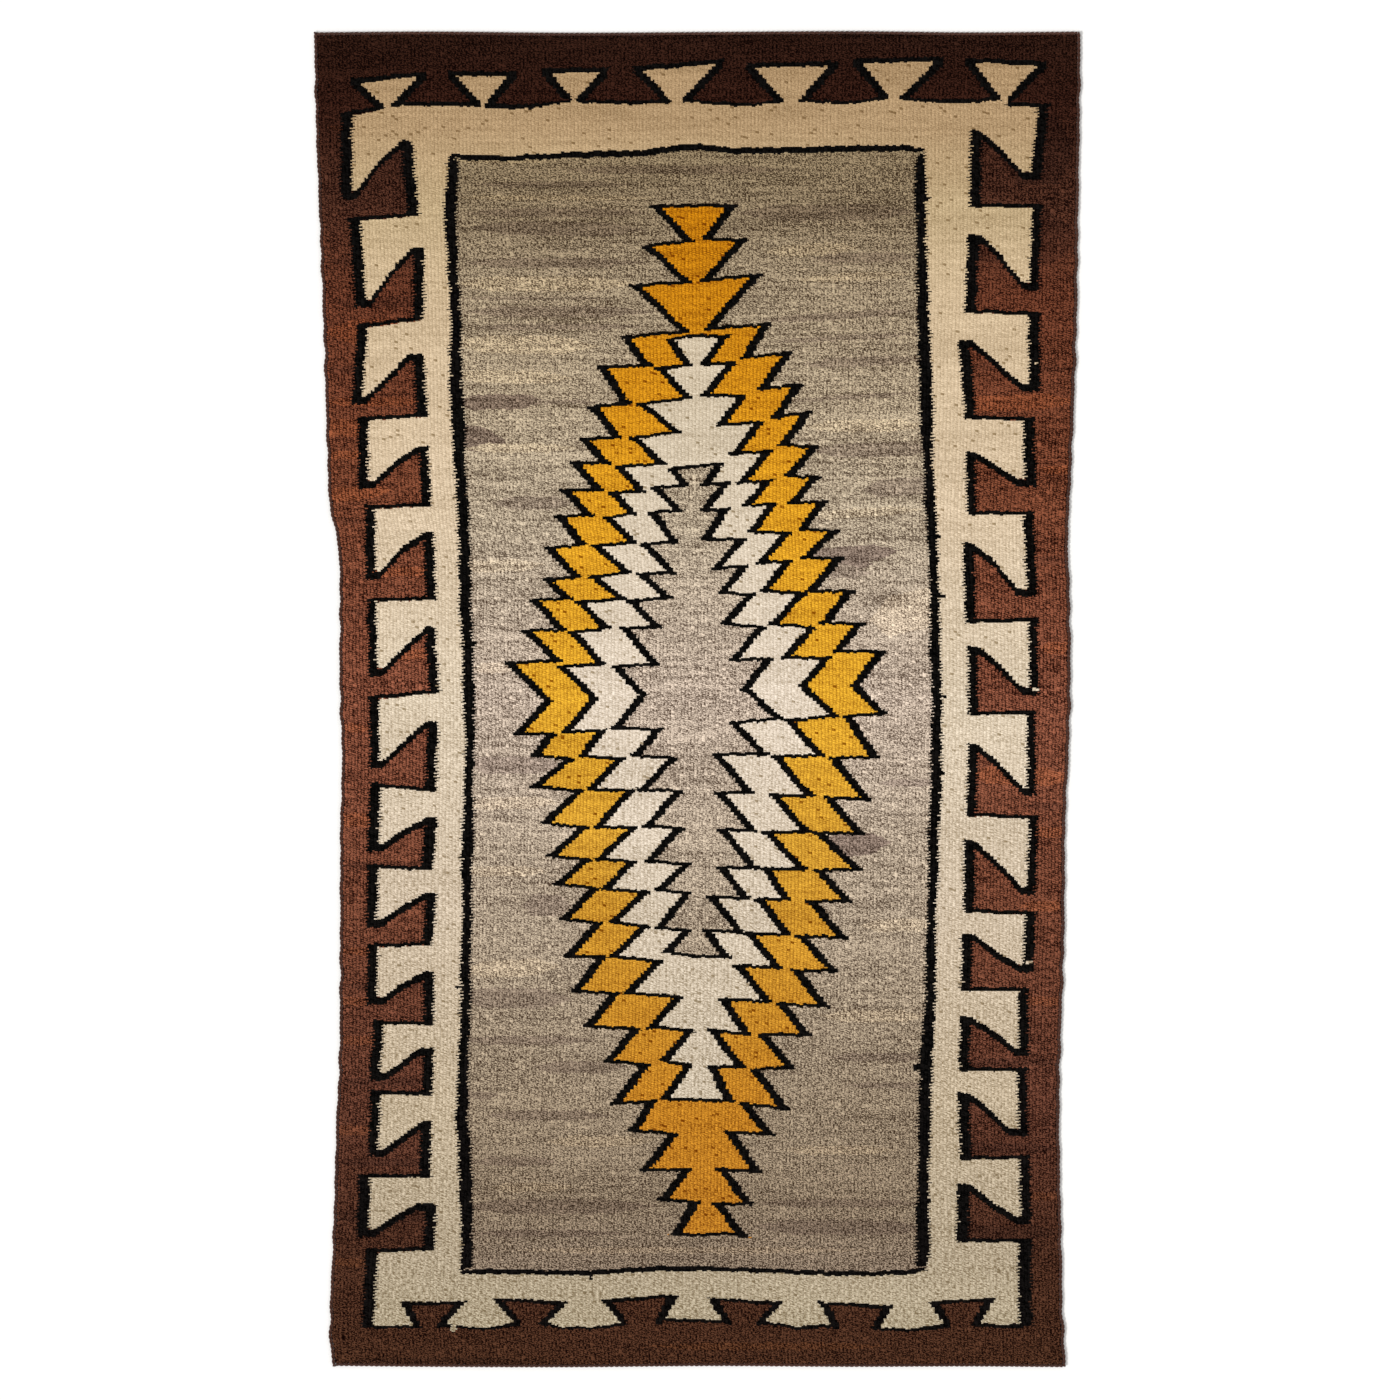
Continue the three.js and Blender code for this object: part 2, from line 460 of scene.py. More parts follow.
FIELD_LENSES = table(LENS, [
    (PALE_GREY, 452, 560, 161, 5, 0),
    (DARK_GREY, 560, 800, 170, 8, 0),
    (DARK_GREY, 470, 640, 185, 6, 0),
    (PALE_GREY, 452, 652, 198, 5, -1),
    (DARK_GREY, 462, 655, 213, 9, 0),
    (DARK_GREY, 735, 922, 213, 16, 2),
    (DARK_GREY, 468, 652, 229, 14, -3),
    (PALE_GREY, 762, 862, 250, 12, 5),
    (DARK_GREY, 810, 922, 258, 10, 2),
    (DARK_GREY, 460, 650, 263, 10, 0),
    (PALE_GREY, 795, 915, 277, 8, 6),
    (PALE_GREY, 452, 640, 284, 15, 0),
    (DARK_GREY, 452, 618, 298.5, 3, 0),
    (DARK_GREY, 460, 660, 312, 11, 0),
    (DARK_GREY, 755, 925, 316, 7, 11),
    (DARK_GREY, 470, 650, 327, 6, 0),
    (DARK_GREY, 768, 925, 338, 5, 9),
    (PALE_GREY, 452, 600, 345, 18, -3),
    (DARK_GREY, 800, 925, 362, 10, 6),
    (PALE_GREY, 452, 575, 377, 13, -3),
    (DEEP_GREY, 452, 548, 402, 15, 2),
    (DARK_GREY, 530, 604, 402, 4, 0),
    (DARK_GREY, 785, 925, 397, 4, 9),
    (DEEP_GREY, 405, 508, 436, 25, -12),
    (PALE_GREY, 805, 930, 426, 12, 2),
    (PALE_GREY, 462, 578, 448, 9, 0),
    (DARK_GREY, 812, 940, 450, 14, 3),
    (DARK_GREY, 862, 945, 487, 18, 6),
    (PALE_GREY, 800, 925, 513, 9, 8),
    (DARK_GREY, 492, 575, 503, 13, 0),
    (DARK_GREY, 640, 724, 502, 14, 0),
    (DARK_GREY, 640, 728, 528, 22, 0),
    (DEEP_GREY, 800, 900, 555, 17, 8),
    (DEEP_GREY, 820, 874, 564, 11, 0),
    (PALE_GREY, 452, 545, 566, 12, 3),
    (DARK_GREY, 795, 872, 571, 14, -5),
    (DARK_GREY, 655, 715, 556, 12, 0),
    (PALE_GREY, 870, 950, 612, 40, 18),
    (PALE_GREY, 650, 722, 602, 11, 0),
    (DARK_GREY, 640, 730, 647, 5, 0),
    (PALE_GREY, 470, 520, 668, 10, 0),
    (PALE_GREY, 640, 750, 700, 18, 0),
    (DARK_GREY, 462, 565, 765, 17, 0),
    (DARK_GREY, 876, 945, 783, 7, 0),
    (DARK_GREY, 676, 718, 790, 6, 0),
    (PALE_GREY, 462, 560, 803, 12, 2),
    (DEEP_GREY, 812, 892, 845, 22, 6),
    (DARK_GREY, 640, 722, 851, 8, 0),
    (PALE_GREY, 462, 548, 871, 10, 0),
    (DARK_GREY, 522, 572, 905, 22, 0),
    (DARK_GREY, 650, 712, 905, 10, 0),
    (PALE_GREY, 860, 940, 925, 12, 2),
    (PALE_GREY, 462, 562, 968, 17, 5),
    (DARK_GREY, 455, 575, 998, 20, -2),
    (PALE_GREY, 820, 930, 1016, 12, 0),
    (DARK_GREY, 455, 600, 1040, 8, 0),
    (DARK_GREY, 532, 630, 1067, 12, 0),
    (DARK_GREY, 826, 935, 1057, 8, 0),
    (DARK_GREY, 845, 935, 1085, 6, 0),
    (DARK_GREY, 485, 612, 1115, 10, 0),
    (DARK_GREY, 455, 500, 1095, 8, 0),
    (PALE_GREY, 545, 655, 1141, 11, 0),
    (DARK_GREY, 470, 560, 1161, 9, 0),
    (PALE_GREY, 780, 900, 1150, 9, 0),
    (PALE_GREY, 490, 575, 1187, 9, 0),
    (DARK_GREY, 460, 660, 1206, 15, 0),
    (DARK_GREY, 755, 930, 1203, 8, 0),
    (DARK_GREY, 752, 935, 1227, 15, -2),
    (DARK_GREY, 470, 625, 1233, 7, 0),
    (PALE_GREY, 500, 880, 1250, 6, 0),
])
LENS_SHARES = (0, 0.22, 0.74, 1)


def weave_lens(lens, over):
    """A long low hexagon: it swells quickly, and runs out in two thin points."""
    length, half = lens.stop - lens.start, lens.tall / 2
    line = [(lens.start + share * length, lens.middle - (share - 0.5) * lens.climb) for share in LENS_SHARES]
    upper = [(x, y - half) for x, y in line[1:3]]
    lower = [(x, y + half) for x, y in line[2:0:-1]]
    weave(lens.yarn, [line[0], *upper, line[3], *lower], only_over=over)


for lens in BORDER_LENSES:
    weave_lens(lens, (BROWN, RUST, UMBER))
print("Lenses:", len(BORDER_LENSES) + len(FIELD_LENSES), counts())

# %% [markdown]
# ## The toothed border
# A cream band runs round the grey field, and long teeth hang from it into the brown border, like
# combs or feathers. Each tooth is a row of the table: the height of its flat top at the outer and
# the inner end, its outer edge at the top and the tip, the tip, the slanting underside through a
# middle point to its root, the brown notch beside the band, and the widths of the two upright
# black lines. The teeth of the left side point left and those of the right side point right.

# %% Chart of the side borders
TOOTH = ("top_out top_in edge_top edge_tip tip tip_in mid_x mid_y shoulder root_x root_y notch_low"
         " line_out line_in")
LEFT_TEETH = table(TOOTH, [
    (117, 109, 352, 351.5, 192, 356, 380, 160.5, 402, 411, 140.5, 419, 10, 10.5),
    (221.5, 216.5, 360, 366, 300, 370, 392.6, 269, 413, 423.5, 247.5, 423, 10, 9),
    (328.5, 320.2, 367.5, 361.5, 397, 366, 395, 369, 409, 422.6, 354, 427, 9, 9.5),
    (421, 417.4, 367.5, 367.8, 481, 374, 399.5, 458, 420, 427.5, 446, 430.7, 8.5, 8),
    (509.2, 506.7, 374.5, 374.7, 571.5, 380, 402, 547.3, 427, 433, 531.5, 435.5, 8.5, 9),
    (602, 600.2, 375.3, 376.8, 668.7, 383, 403, 648, 427, 434, 626.5, 438.8, 7, 8.5),
    (699.8, 693, 378.2, 378.8, 761, 383, 400.7, 743.5, 427, 437.5, 721, 435.3, 8, 9.5),
    (786, 792.3, 380.5, 378, 843.7, 383, 406.5, 828, 427, 437, 817.3, 432.4, 10, 11),
    (868, 870.5, 378, 376.5, 920, 382, 397.2, 908.5, 425, 436, 893, 431.3, 9.5, 8.5),
    (947.5, 945.6, 378, 376, 997, 383, 399.5, 984.6, 427, 433.6, 970.8, 433, 9, 9),
    (1024, 1025, 383.5, 379.5, 1072.5, 385, 399.5, 1063.8, 420, 433, 1047.5, 431.8, 9, 8.5),
    (1093.5, 1095.6, 380, 377.8, 1149, 384, 399.5, 1137.7, 422.6, 430.9, 1121, 430, 8.7, 9.5),
    (1177.5, 1177.5, 370, 368.3, 1229, 375, 395, 1215, 419, 435.5, 1203, 434, 10.5, 9.5),
])
RIGHT_TEETH = table(TOOTH, [
    (108, 106, 1039.5, 1031, 172, 1022, 1003, 151, 979, 971, 130.5, 970, 9, 10),
    (208, 207.5, 1033.5, 1029.8, 283, 1023, 1004, 259, 981, 969, 234.5, 965.5, 8, 10),
    (316, 313, 1029, 1029.8, 384, 1022, 992, 358, 972, 959, 340, 966, 10, 10),
    (421, 419.5, 1023, 1026, 479, 1018, 1000, 468, 976, 966.5, 452, 968, 10, 8),
    (515, 515, 1023.5, 1028, 589, 1017, 996, 562, 971, 963.5, 542.5, 966, 9, 9.5),
    (621.5, 623.5, 1029, 1030.5, 687, 1021, 1001, 665, 977, 969, 646, 969, 7.5, 8),
    (714, 715.5, 1027.5, 1028, 788, 1024, 999, 763, 976, 969, 743, 967, 7, 8.5),
    (819.5, 816, 1029.7, 1027.5, 887, 1021, 1002, 865, 972, 965, 839.5, 964.5, 7.5, 9.5),
    (915, 912.5, 1025.5, 1024, 964, 1018, 998, 952, 973, 963, 933.5, 962, 9, 9),
    (991, 991, 1018.7, 1020, 1048, 1015, 1000, 1035, 970, 961, 1016, 960, 8.5, 9),
    (1071, 1071, 1018, 1019.5, 1128, 1009, 993, 1112, 968, 958.5, 1092, 961, 8, 10),
    (1158.5, 1160, 1020, 1021.5, 1216, 1015, 995, 1203, 968, 958, 1183, 957, 9, 11),
])
LEFT_CORNER, RIGHT_CORNER = table("top_out top_in edge_top edge_low low line_out", [
    (1252.5, 1250, 377.5, 373, 1325, 10.5),
    (1242, 1242, 1019, 1019.5, 1323, 12),
])
LINE = 3.9
SLANT_LINE = 7.6
UNDER = 3
FIELD_MIDDLE = 700
TIP_LOW, TIP_LOWEST, TIP_REACH = 5, 9, 4
CORNER_RISE = 20
FIRST_LEFT, FIRST_RIGHT = 386, 1004


def weave_top_line(top, outer_x, inner_x):
    """The thin black line on the flat top of a tooth or corner."""
    weave(BLACK, [(outer_x, top.top_out - LINE), (inner_x, top.top_in - LINE), (inner_x, top.top_in),
                  (outer_x, top.top_out)])


def weave_tooth(tooth, inner_x, below_top, outward):
    """One cream tooth with the band beside it, and its black outline."""
    t, room = tooth, outward * COMB_ROOM
    slant = [(t.shoulder, t.root_y), (t.mid_x, t.mid_y), (t.tip_in, t.tip)]
    cream = [(t.edge_top + outward * UNDER, t.top_out), (inner_x, t.top_in), (FIELD_MIDDLE, t.top_in)]
    cream += [(FIELD_MIDDLE, below_top), (t.notch_low + outward * UNDER, below_top)]
    cream += [(t.root_x + outward * UNDER, t.root_y), *slant, (t.edge_tip + outward * UNDER, t.tip)]
    weave(CREAM, cream)
    out_top = t.edge_top + outward * t.line_out + room
    out_tip = t.edge_tip + outward * t.line_out + room
    weave_top_line(t, out_top, inner_x)
    weave(BLACK, [(t.edge_top - room, t.top_out - LINE), (t.edge_tip - room, t.tip + TIP_LOW),
                  (out_tip, t.tip + TIP_LOWEST), (out_top, t.top_out - LINE)], combed=True)
    upper = [(t.root_x, t.root_y), *slant, (t.edge_tip + outward * TIP_REACH, t.tip + 1)]
    weave(BLACK, upper + [(x, y + SLANT_LINE) for x, y in reversed(upper)])
    low_in = t.notch_low + outward * t.line_in + room
    root_in = t.root_x + outward * t.line_in + room
    weave(BLACK, [(t.root_x - room, t.root_y), (t.notch_low - room, below_top),
                  (low_in, below_top - 2), (root_in, t.root_y + 2)], combed=True)


def weave_side(teeth, corner, first_inner_x, outward):
    inner_x = first_inner_x
    for tooth, below in zip(teeth, teeth[1:] + [corner]):
        weave_tooth(tooth, inner_x, below.top_in, outward)
        inner_x = tooth.notch_low
    c = corner
    out_top, out_low = c.edge_top + outward * c.line_out, c.edge_low + outward * c.line_out
    weave(CREAM, [(c.edge_top + outward * UNDER, c.top_out), (inner_x, c.top_in),
                  (FIELD_MIDDLE, c.top_in), (FIELD_MIDDLE, c.low - CORNER_RISE),
                  (c.edge_low + outward * UNDER, c.low)])
    weave_top_line(c, out_top, inner_x)
    room = outward * COMB_ROOM
    weave(BLACK, [(c.edge_top - room, c.top_out - LINE), (c.edge_low - room, c.low + UNDER),
                  (out_low + room, c.low + UNDER), (out_top + room, c.top_out - LINE)], combed=True)


weave_side(LEFT_TEETH, LEFT_CORNER, FIRST_LEFT, -1)
weave_side(RIGHT_TEETH, RIGHT_CORNER, FIRST_RIGHT, 1)
print("Teeth:", len(LEFT_TEETH) + len(RIGHT_TEETH) + 2, counts())

# %% [markdown]
# ## The top and bottom bands
# The wide end has a row of cream triangles that stand on their points on the band. The narrow end
# has brown notches cut into the band from below, with narrow mouths. Both rows have black outlines.
# The band's own edges wander up and down by a few squares, as weft rows do when they are packed
# unevenly, so each edge is a short table of places.

# %% Chart of the two end bands
TOP_EDGE = table("x cream black", [
    (386, 108, 104),
    (398, 106, 101.5),
    (455, 106.5, 102),
    (478, 107, 102.5),
    (490, 109, 103.5),
    (532, 109.5, 104.5),
    (545, 106, 103),
    (562, 103.5, 101),
    (575, 102.5, 99.5),
    (620, 105, 100.7),
    (668, 104, 100.5),
    (695, 102.5, 99.5),
    (715, 105.5, 102),
    (752, 107, 103.4),
    (768, 104.5, 101.5),
    (799, 102, 99),
    (842, 105, 101.5),
    (865, 103, 100),
    (889, 99.5, 96.5),
    (920, 102, 98.7),
    (942, 103.5, 99.5),
    (975, 103.5, 99.5),
    (1000, 100.2, 97.3),
    (1005, 105.5, 99.5),
    (1010, 107, 101),
])
BOTTOM_EDGE = table("x cream black", [
    (366, 1325, 1328),
    (414, 1325, 1328),
    (445, 1323, 1326.5),
    (470, 1326.5, 1329),
    (490, 1327, 1329.7),
    (514, 1321.5, 1326),
    (547, 1321, 1325.5),
    (560, 1326, 1328.5),
    (592, 1326.5, 1329),
    (620, 1323, 1326),
    (664, 1317, 1320.5),
    (690, 1318.5, 1321.7),
    (724, 1319.5, 1322.7),
    (764, 1321.5, 1325),
    (780, 1323, 1326),
    (800, 1326, 1329.5),
    (833, 1323, 1327),
    (881, 1327, 1330),
    (912, 1328.5, 1331.5),
    (944, 1322.5, 1328),
    (980, 1322.5, 1327),
    (1003, 1324.5, 1328),
    (1024, 1322, 1327.5),
])
TRIANGLE = "left_x left_y right_x right_y neck_left neck_right neck_y"
TRIANGLES = table(TRIANGLE, [
    (360, 84, 418, 76.5, 386, 390.5, 107),
    (457, 76.5, 508, 76.5, 481.5, 485.5, 103),
    (552, 73.5, 600, 72.5, 572, 576, 99),
    (643, 71.5, 715, 64, 670.5, 682.5, 99.5),
    (755, 68.5, 829, 66.5, 783.5, 798, 100.5),
    (863, 64, 935, 62, 889.5, 900.5, 98),
    (974, 63, 1037, 66.5, 1001.5, 1005.5, 99.5),
])
NOTCHES = table(TRIANGLE, [
    (399, 1301.5, 467.5, 1300.5, 414, 445, 1323),
    (492, 1297, 568.5, 1301, 514.5, 547, 1322),
    (601, 1299, 678.5, 1294, 620, 664, 1320.5),
    (707, 1297, 784, 1301.5, 724, 764, 1320.5),
    (817, 1301, 893.5, 1305, 833, 880.5, 1325.5),
    (928, 1300.5, 996, 1297.5, 944, 980, 1322.5),
])
TOP_FOOT = [(1010, 113), (386, 113)]
BOTTOM_FOOT = [(1016, 1256), (380, 1256)]
BAND_LEFT, BAND_RIGHT = 376, 1016
TRIANGLE_SIDE, TRIANGLE_TOP, NECK_DEPTH = 9, 5, 9
NOTCH_SIDE, NOTCH_TOP, NOTCH_NECK = 12, 3.6, 7


def weave_edge_line(edge):
    weave(BLACK, [(row.x, row.cream) for row in edge] + [(row.x, row.black) for row in reversed(edge)])


def clipped(outline, low, high):
    return [(min(max(x, low), high), y) for x, y in outline]


top_cream = [(row.x, row.cream) for row in TOP_EDGE]
weave(CREAM, top_cream + TOP_FOOT)
weave_edge_line(TOP_EDGE)
for t in TRIANGLES:
    side, top = TRIANGLE_SIDE, TRIANGLE_TOP
    weave(BLACK, [(t.left_x - side, t.left_y - top), (t.right_x + side, t.right_y - top),
                  (t.right_x + side, t.right_y + 2), (t.neck_right + side, t.neck_y + 1),
                  (t.neck_left - side, t.neck_y + 1), (t.left_x - side, t.left_y + 2)])
    weave(CREAM, [(t.left_x, t.left_y), (t.right_x, t.right_y), (t.neck_right, t.neck_y),
                  (t.neck_right, t.neck_y + NECK_DEPTH), (t.neck_left, t.neck_y + NECK_DEPTH),
                  (t.neck_left, t.neck_y)])

bottom_cream = clipped([(row.x, row.cream) for row in BOTTOM_EDGE], BAND_LEFT, BAND_RIGHT)
weave(CREAM, bottom_cream + BOTTOM_FOOT)
weave_edge_line(BOTTOM_EDGE)
for n in NOTCHES:
    weave(BLACK, [(n.left_x, n.left_y), (n.right_x, n.right_y), (n.neck_right, n.neck_y + 1),
                  (n.neck_right, n.neck_y + 4), (n.neck_left, n.neck_y + 4), (n.neck_left, n.neck_y + 1)])
    weave(BROWN, [(n.left_x + NOTCH_SIDE, n.left_y + NOTCH_TOP),
                  (n.right_x - NOTCH_SIDE, n.right_y + NOTCH_TOP),
                  (n.neck_right - NOTCH_NECK - 1, n.neck_y),
                  (n.neck_right - NOTCH_NECK, n.neck_y + NECK_DEPTH),
                  (n.neck_left + NOTCH_NECK, n.neck_y + NECK_DEPTH),
                  (n.neck_left + NOTCH_NECK, n.neck_y)])
print("Triangles:", len(TRIANGLES), "notches:", len(NOTCHES), counts())

# %% [markdown]
# ## The grey field and its frame
# A black line frames the field. It is wide along the warps, where the weaver needs several turns to
# make it strong, and thin along the wefts. Its bends are read at intervals down the two sides and
# across the two ends.

# %% Chart of the field
FIELD_SIDES = table("y left_out left_in right_in right_out", [
    (157, 450, 458.4, 916.7, 924),
    (190, 446.8, 457.5, 915.2, 925.5),
    (218, 444.7, 455.5, 916.5, 925),
    (250, 448, 457, 917.7, 925.7),
    (273, 449.2, 457.5, 917, 927),
    (325, 452, 461.5, 918.5, 928.5),
    (350, 450.9, 460.5, 919, 930),
    (380, 450.5, 461.5, 920, 931.5),
    (425, 452.6, 465.2, 921, 932.5),
    (465, 455.5, 464.5, 924.5, 932),
    (504, 458, 468, 925, 935),
    (548, 459.5, 469.5, 929, 936.7),
    (604, 460.7, 471, 931, 938.5),
    (650, 463.5, 472.2, 930, 939.5),
    (696, 464, 474.5, 933, 941),
    (742, 466.5, 474.5, 931.5, 940.7),
    (793, 465.3, 472.3, 931.5, 941),
    (837, 463, 474, 928.5, 937),
    (868, 462.4, 471, 929, 938),
    (915, 464, 471.8, 928, 934.3),
    (957, 461.5, 470, 926.3, 935.3),
    (1002, 461.8, 470.5, 926, 934.5),
    (1055, 460, 468.2, 920.5, 932),
    (1090, 458.4, 468, 920, 930.3),
    (1118, 457, 467.6, 918.5, 930.5),
    (1154, 459.5, 471, 919.3, 929),
    (1190, 460, 471.6, 917.8, 927.5),
    (1220, 462, 472, 916.5, 928),
    (1245, 463, 472.2, 917, 929.7),
    (1266, 461.5, 472, 916, 925.7),
])
FIELD_TOP = table("x outer inner", [
    (450, 155.3, 160),
    (475, 155, 160),
    (507, 156.5, 160.6),
    (545, 154.5, 159),
    (590, 151.5, 157.3),
    (645, 151, 156.5),
    (670, 146.5, 152.3),
    (692, 144, 150),
    (703, 144.5, 150),
    (715, 147, 152),
    (735, 148.5, 153.7),
    (760, 148.5, 154),
    (800, 147.5, 153),
    (850, 146.3, 152),
    (905, 146, 151),
    (924, 149, 152),
])
FIELD_BOTTOM = table("x outer inner", [
    (462, 1273, 1269.5),
    (500, 1273, 1269),
    (560, 1274.3, 1270.4),
    (590, 1274.5, 1270.4),
    (625, 1272, 1268),
    (660, 1270.5, 1266),
    (700, 1270, 1266),
    (735, 1271, 1267.8),
    (760, 1272, 1268),
    (800, 1273.5, 1270),
    (835, 1275.3, 1271),
    (870, 1275, 1271.4),
    (905, 1274.3, 1270),
    (926, 1270, 1267),
])


def field_outline(left, right, end):
    room = COMB_ROOM if end == "outer" else -COMB_ROOM
    outline = [(row.x, getattr(row, end) - room / 2) for row in FIELD_TOP]
    outline += [(getattr(row, right) + room, row.y) for row in FIELD_SIDES]
    outline += [(row.x, getattr(row, end) + room / 2) for row in reversed(FIELD_BOTTOM)]
    outline += [(getattr(row, left) - room, row.y) for row in reversed(FIELD_SIDES)]
    return outline


GREY_LEFT, GREY_RIGHT = 455, 934
grey_outline = clipped(field_outline("left_in", "right_in", "inner"), GREY_LEFT, GREY_RIGHT)
weave(BLACK, field_outline("left_out", "right_out", "outer"), combed=True)
weave(GREY, grey_outline, combed=True)
for lens in FIELD_LENSES:
    weave_lens(lens, (GREY, DARK_GREY, PALE_GREY, DEEP_GREY))
print("Field framed:", counts())

# %% [markdown]
# ## The nested zigzags
# The middle of the rug is three zigzags, one inside another: the outer one is filled with gold, the
# next with white and the inner one with the grey of the field. Each side of a zigzag is a flight of
# steps. A step has a flat line from its tip to its inner end and a slanting line on to the next
# step. The upper half's slants lean one way and the lower half's the other, and they meet at a
# point half way down. The hand of the weaver shows in that no two steps are alike.

# %% Chart of the zigzags
STEP = "tip_x tip_y end_x end_y"
Flight = namedtuple("Flight", "upper point lower")


def flight(upper, point, lower):
    """A flight of steps down to the point half way, and on from it to the bottom."""
    return Flight(table(STEP, upper), point, table(STEP, lower))


OUTER_LEFT = flight(
    [(650, 207, 650, 207), (642, 247.5, 694, 240), (630, 286.5, 692, 281.5), (620, 338, 690, 331),
     (596.5, 367.7, 652.5, 365.5), (588, 407, 632, 403.3), (579, 439.5, 622.5, 437),
     (569, 462.8, 610.5, 462.8), (560, 490.6, 604.9, 489.8), (555, 517, 594, 515),
     (544.2, 548.7, 587, 544), (542, 580, 582, 576.5), (529.2, 600.9, 573, 598),
     (521.2, 631, 567.9, 629.4), (504.5, 663.1, 562.8, 660.3)],
    (554.5, 701.3),
    [(512, 733.6, 558.3, 733.8), (530, 754.7, 575, 759.6), (530, 786, 584.6, 791.3),
     (540.4, 822, 588.5, 828.3), (546.8, 855.2, 591.7, 860.5), (553.2, 883.3, 600, 888.5),
     (559.5, 918.7, 603.7, 923.3), (563, 956, 608, 956.5), (570.5, 990.5, 620.5, 993.6),
     (583, 1025.6, 641.3, 1029), (603.5, 1060.2, 650.5, 1065), (610.5, 1103.6, 658, 1101),
     (628, 1130, 679, 1134), (640, 1170, 693, 1169), (657.6, 1199, 700.5, 1202),
     (670.8, 1233.5, 670.8, 1233.5)],
)
OUTER_RIGHT = flight(
    [(737, 206, 737, 206), (747.5, 240.8, 702, 238.8), (762.8, 275, 700, 281), (771.8, 324.6, 703, 329),
     (793.9, 352.6, 740.5, 357.8), (804.1, 384.7, 757, 389.5), (813.5, 412, 770, 418.5),
     (819.4, 447.6, 778, 444.5), (821.2, 477.7, 783.8, 475.4), (828.7, 502.3, 787, 502.8),
     (838.8, 531.9, 797, 529), (844.2, 558.9, 800.8, 557.5), (855.4, 591.4, 804.8, 591.5),
     (865.3, 624.2, 819, 623), (886.9, 652, 831, 651.1)],
    (848.9, 686.1),
    [(887.5, 713, 842, 716.8), (880, 757, 827.4, 758.2), (872, 799.5, 822.6, 798),
     (865.2, 833.6, 813.2, 833), (863, 869.2, 813.2, 870.8), (853, 901, 806, 901.6),
     (848.3, 937.8, 795.5, 935.8), (839, 971.3, 790.5, 970.2), (829.4, 1006.2, 775.7, 1003.6),
     (811.9, 1034.6, 757.1, 1034.3), (795.5, 1067, 749.6, 1069.5), (790, 1109, 738, 1103),
     (774.5, 1134, 723.6, 1131.8), (763, 1171.8, 716.2, 1169), (754, 1203.4, 712.4, 1203.9),
     (748.7, 1236.8, 748.7, 1236.8)],
)
MIDDLE_LEFT = flight(
    [(666, 341, 666, 341), (655, 369, 692.8, 364.6), (637, 405.4, 692.8, 397), (630, 439, 682, 431.4),
     (614.7, 467.3, 666.8, 463.5), (607.6, 493.3, 646.2, 491.2), (603, 518.5, 638, 513),
     (590.8, 545.8, 639, 542.6), (588.5, 577.2, 632, 572.2), (574.4, 602.8, 626.9, 598.2),
     (568.6, 633.3, 611.4, 627.2), (556.7, 667.2, 607, 663.4)],
    (600.6, 698.3),
    [(560, 732, 608, 730.3), (577, 755.6, 626, 759), (585.5, 788.8, 635.9, 791.2),
     (592.5, 826.3, 638.5, 828.5), (594.5, 858.3, 637, 862.5), (601, 888.6, 650.2, 892.3),
     (609, 921, 649.2, 927.4), (609, 955.5, 662.8, 962), (623.5, 992.5, 683.6, 997.2),
     (647, 1026.9, 694.8, 1030.3), (660, 1060, 692.9, 1065), (660.4, 1098.3, 660.4, 1098.3)],
)
MIDDLE_RIGHT = flight(
    [(730, 337, 730, 337), (737, 363, 699.3, 364.4), (747, 396.5, 701, 395.3), (765, 422.4, 716.2, 425.1),
     (773.6, 451.3, 729.6, 454.3), (774.5, 480.8, 736.3, 483), (777.5, 504.1, 741, 505.5),
     (791.6, 533.7, 747.6, 531.6), (793.7, 561.2, 755.3, 563.2), (807.5, 593.9, 759, 590.7),
     (817.3, 628.2, 768.1, 623.5), (832.7, 658.5, 780.2, 657.2)],
    (796.4, 686.1),
    [(840.2, 715.5, 783.5, 721), (826, 755, 770.6, 757), (815, 796, 768.4, 795.3),
     (811.9, 831.8, 761.4, 832.6), (808.5, 869, 760.7, 869), (791.5, 899, 754.3, 899.3),
     (792.4, 934.1, 744, 933.7), (783.5, 967.5, 733, 965.5), (773, 1001.5, 718, 999),
     (752, 1035, 706.9, 1029.3), (745.5, 1066.5, 706.9, 1066.7), (734.8, 1101, 734.8, 1101)],
)
INNER_LEFT = flight(
    [(667.7, 470, 667.7, 470), (650.3, 488.9, 690, 484.6), (647, 514, 683.9, 509.5),
     (639.7, 545, 680, 542), (636.5, 574.4, 677.6, 572.8), (626.3, 601.3, 672.4, 597.7),
     (619.2, 628.5, 662.2, 627.2), (610.5, 666.7, 660.9, 664.4)],
    (648.7, 695.4),
    [(611, 727.6, 663.5, 730), (630.8, 755.3, 678.8, 758.8), (636.5, 789.7, 684.6, 791.4),
     (642, 826.3, 684.6, 828.4), (644, 861, 692.3, 864.5), (654, 889.5, 692.9, 893.3),
     (654.3, 927.7, 692.4, 930.5), (662.8, 951.3, 662.8, 951.3)],
)
INNER_RIGHT = flight(
    [(725, 463.5, 725, 463.5), (732, 483, 700, 485), (730, 509.5, 698.7, 510.4), (746.7, 540, 701, 539.1),
     (749.9, 566.3, 710.2, 569.2), (756.5, 595.2, 717.2, 592.3), (767, 627.8, 719.9, 623.2),
     (774.6, 659.2, 728.4, 659.8)],
    (739.8, 689.2),
    [(784.3, 717.8, 728, 723.6), (770, 754, 711.5, 754.5), (755, 792.5, 713.6, 792.9),
     (758.7, 830.4, 716.5, 829.9), (760, 867.7, 715.6, 867.7), (752, 898.5, 705.9, 896.4),
     (745.5, 932, 701.3, 930.2), (731, 957.2, 731, 957.2)],
)
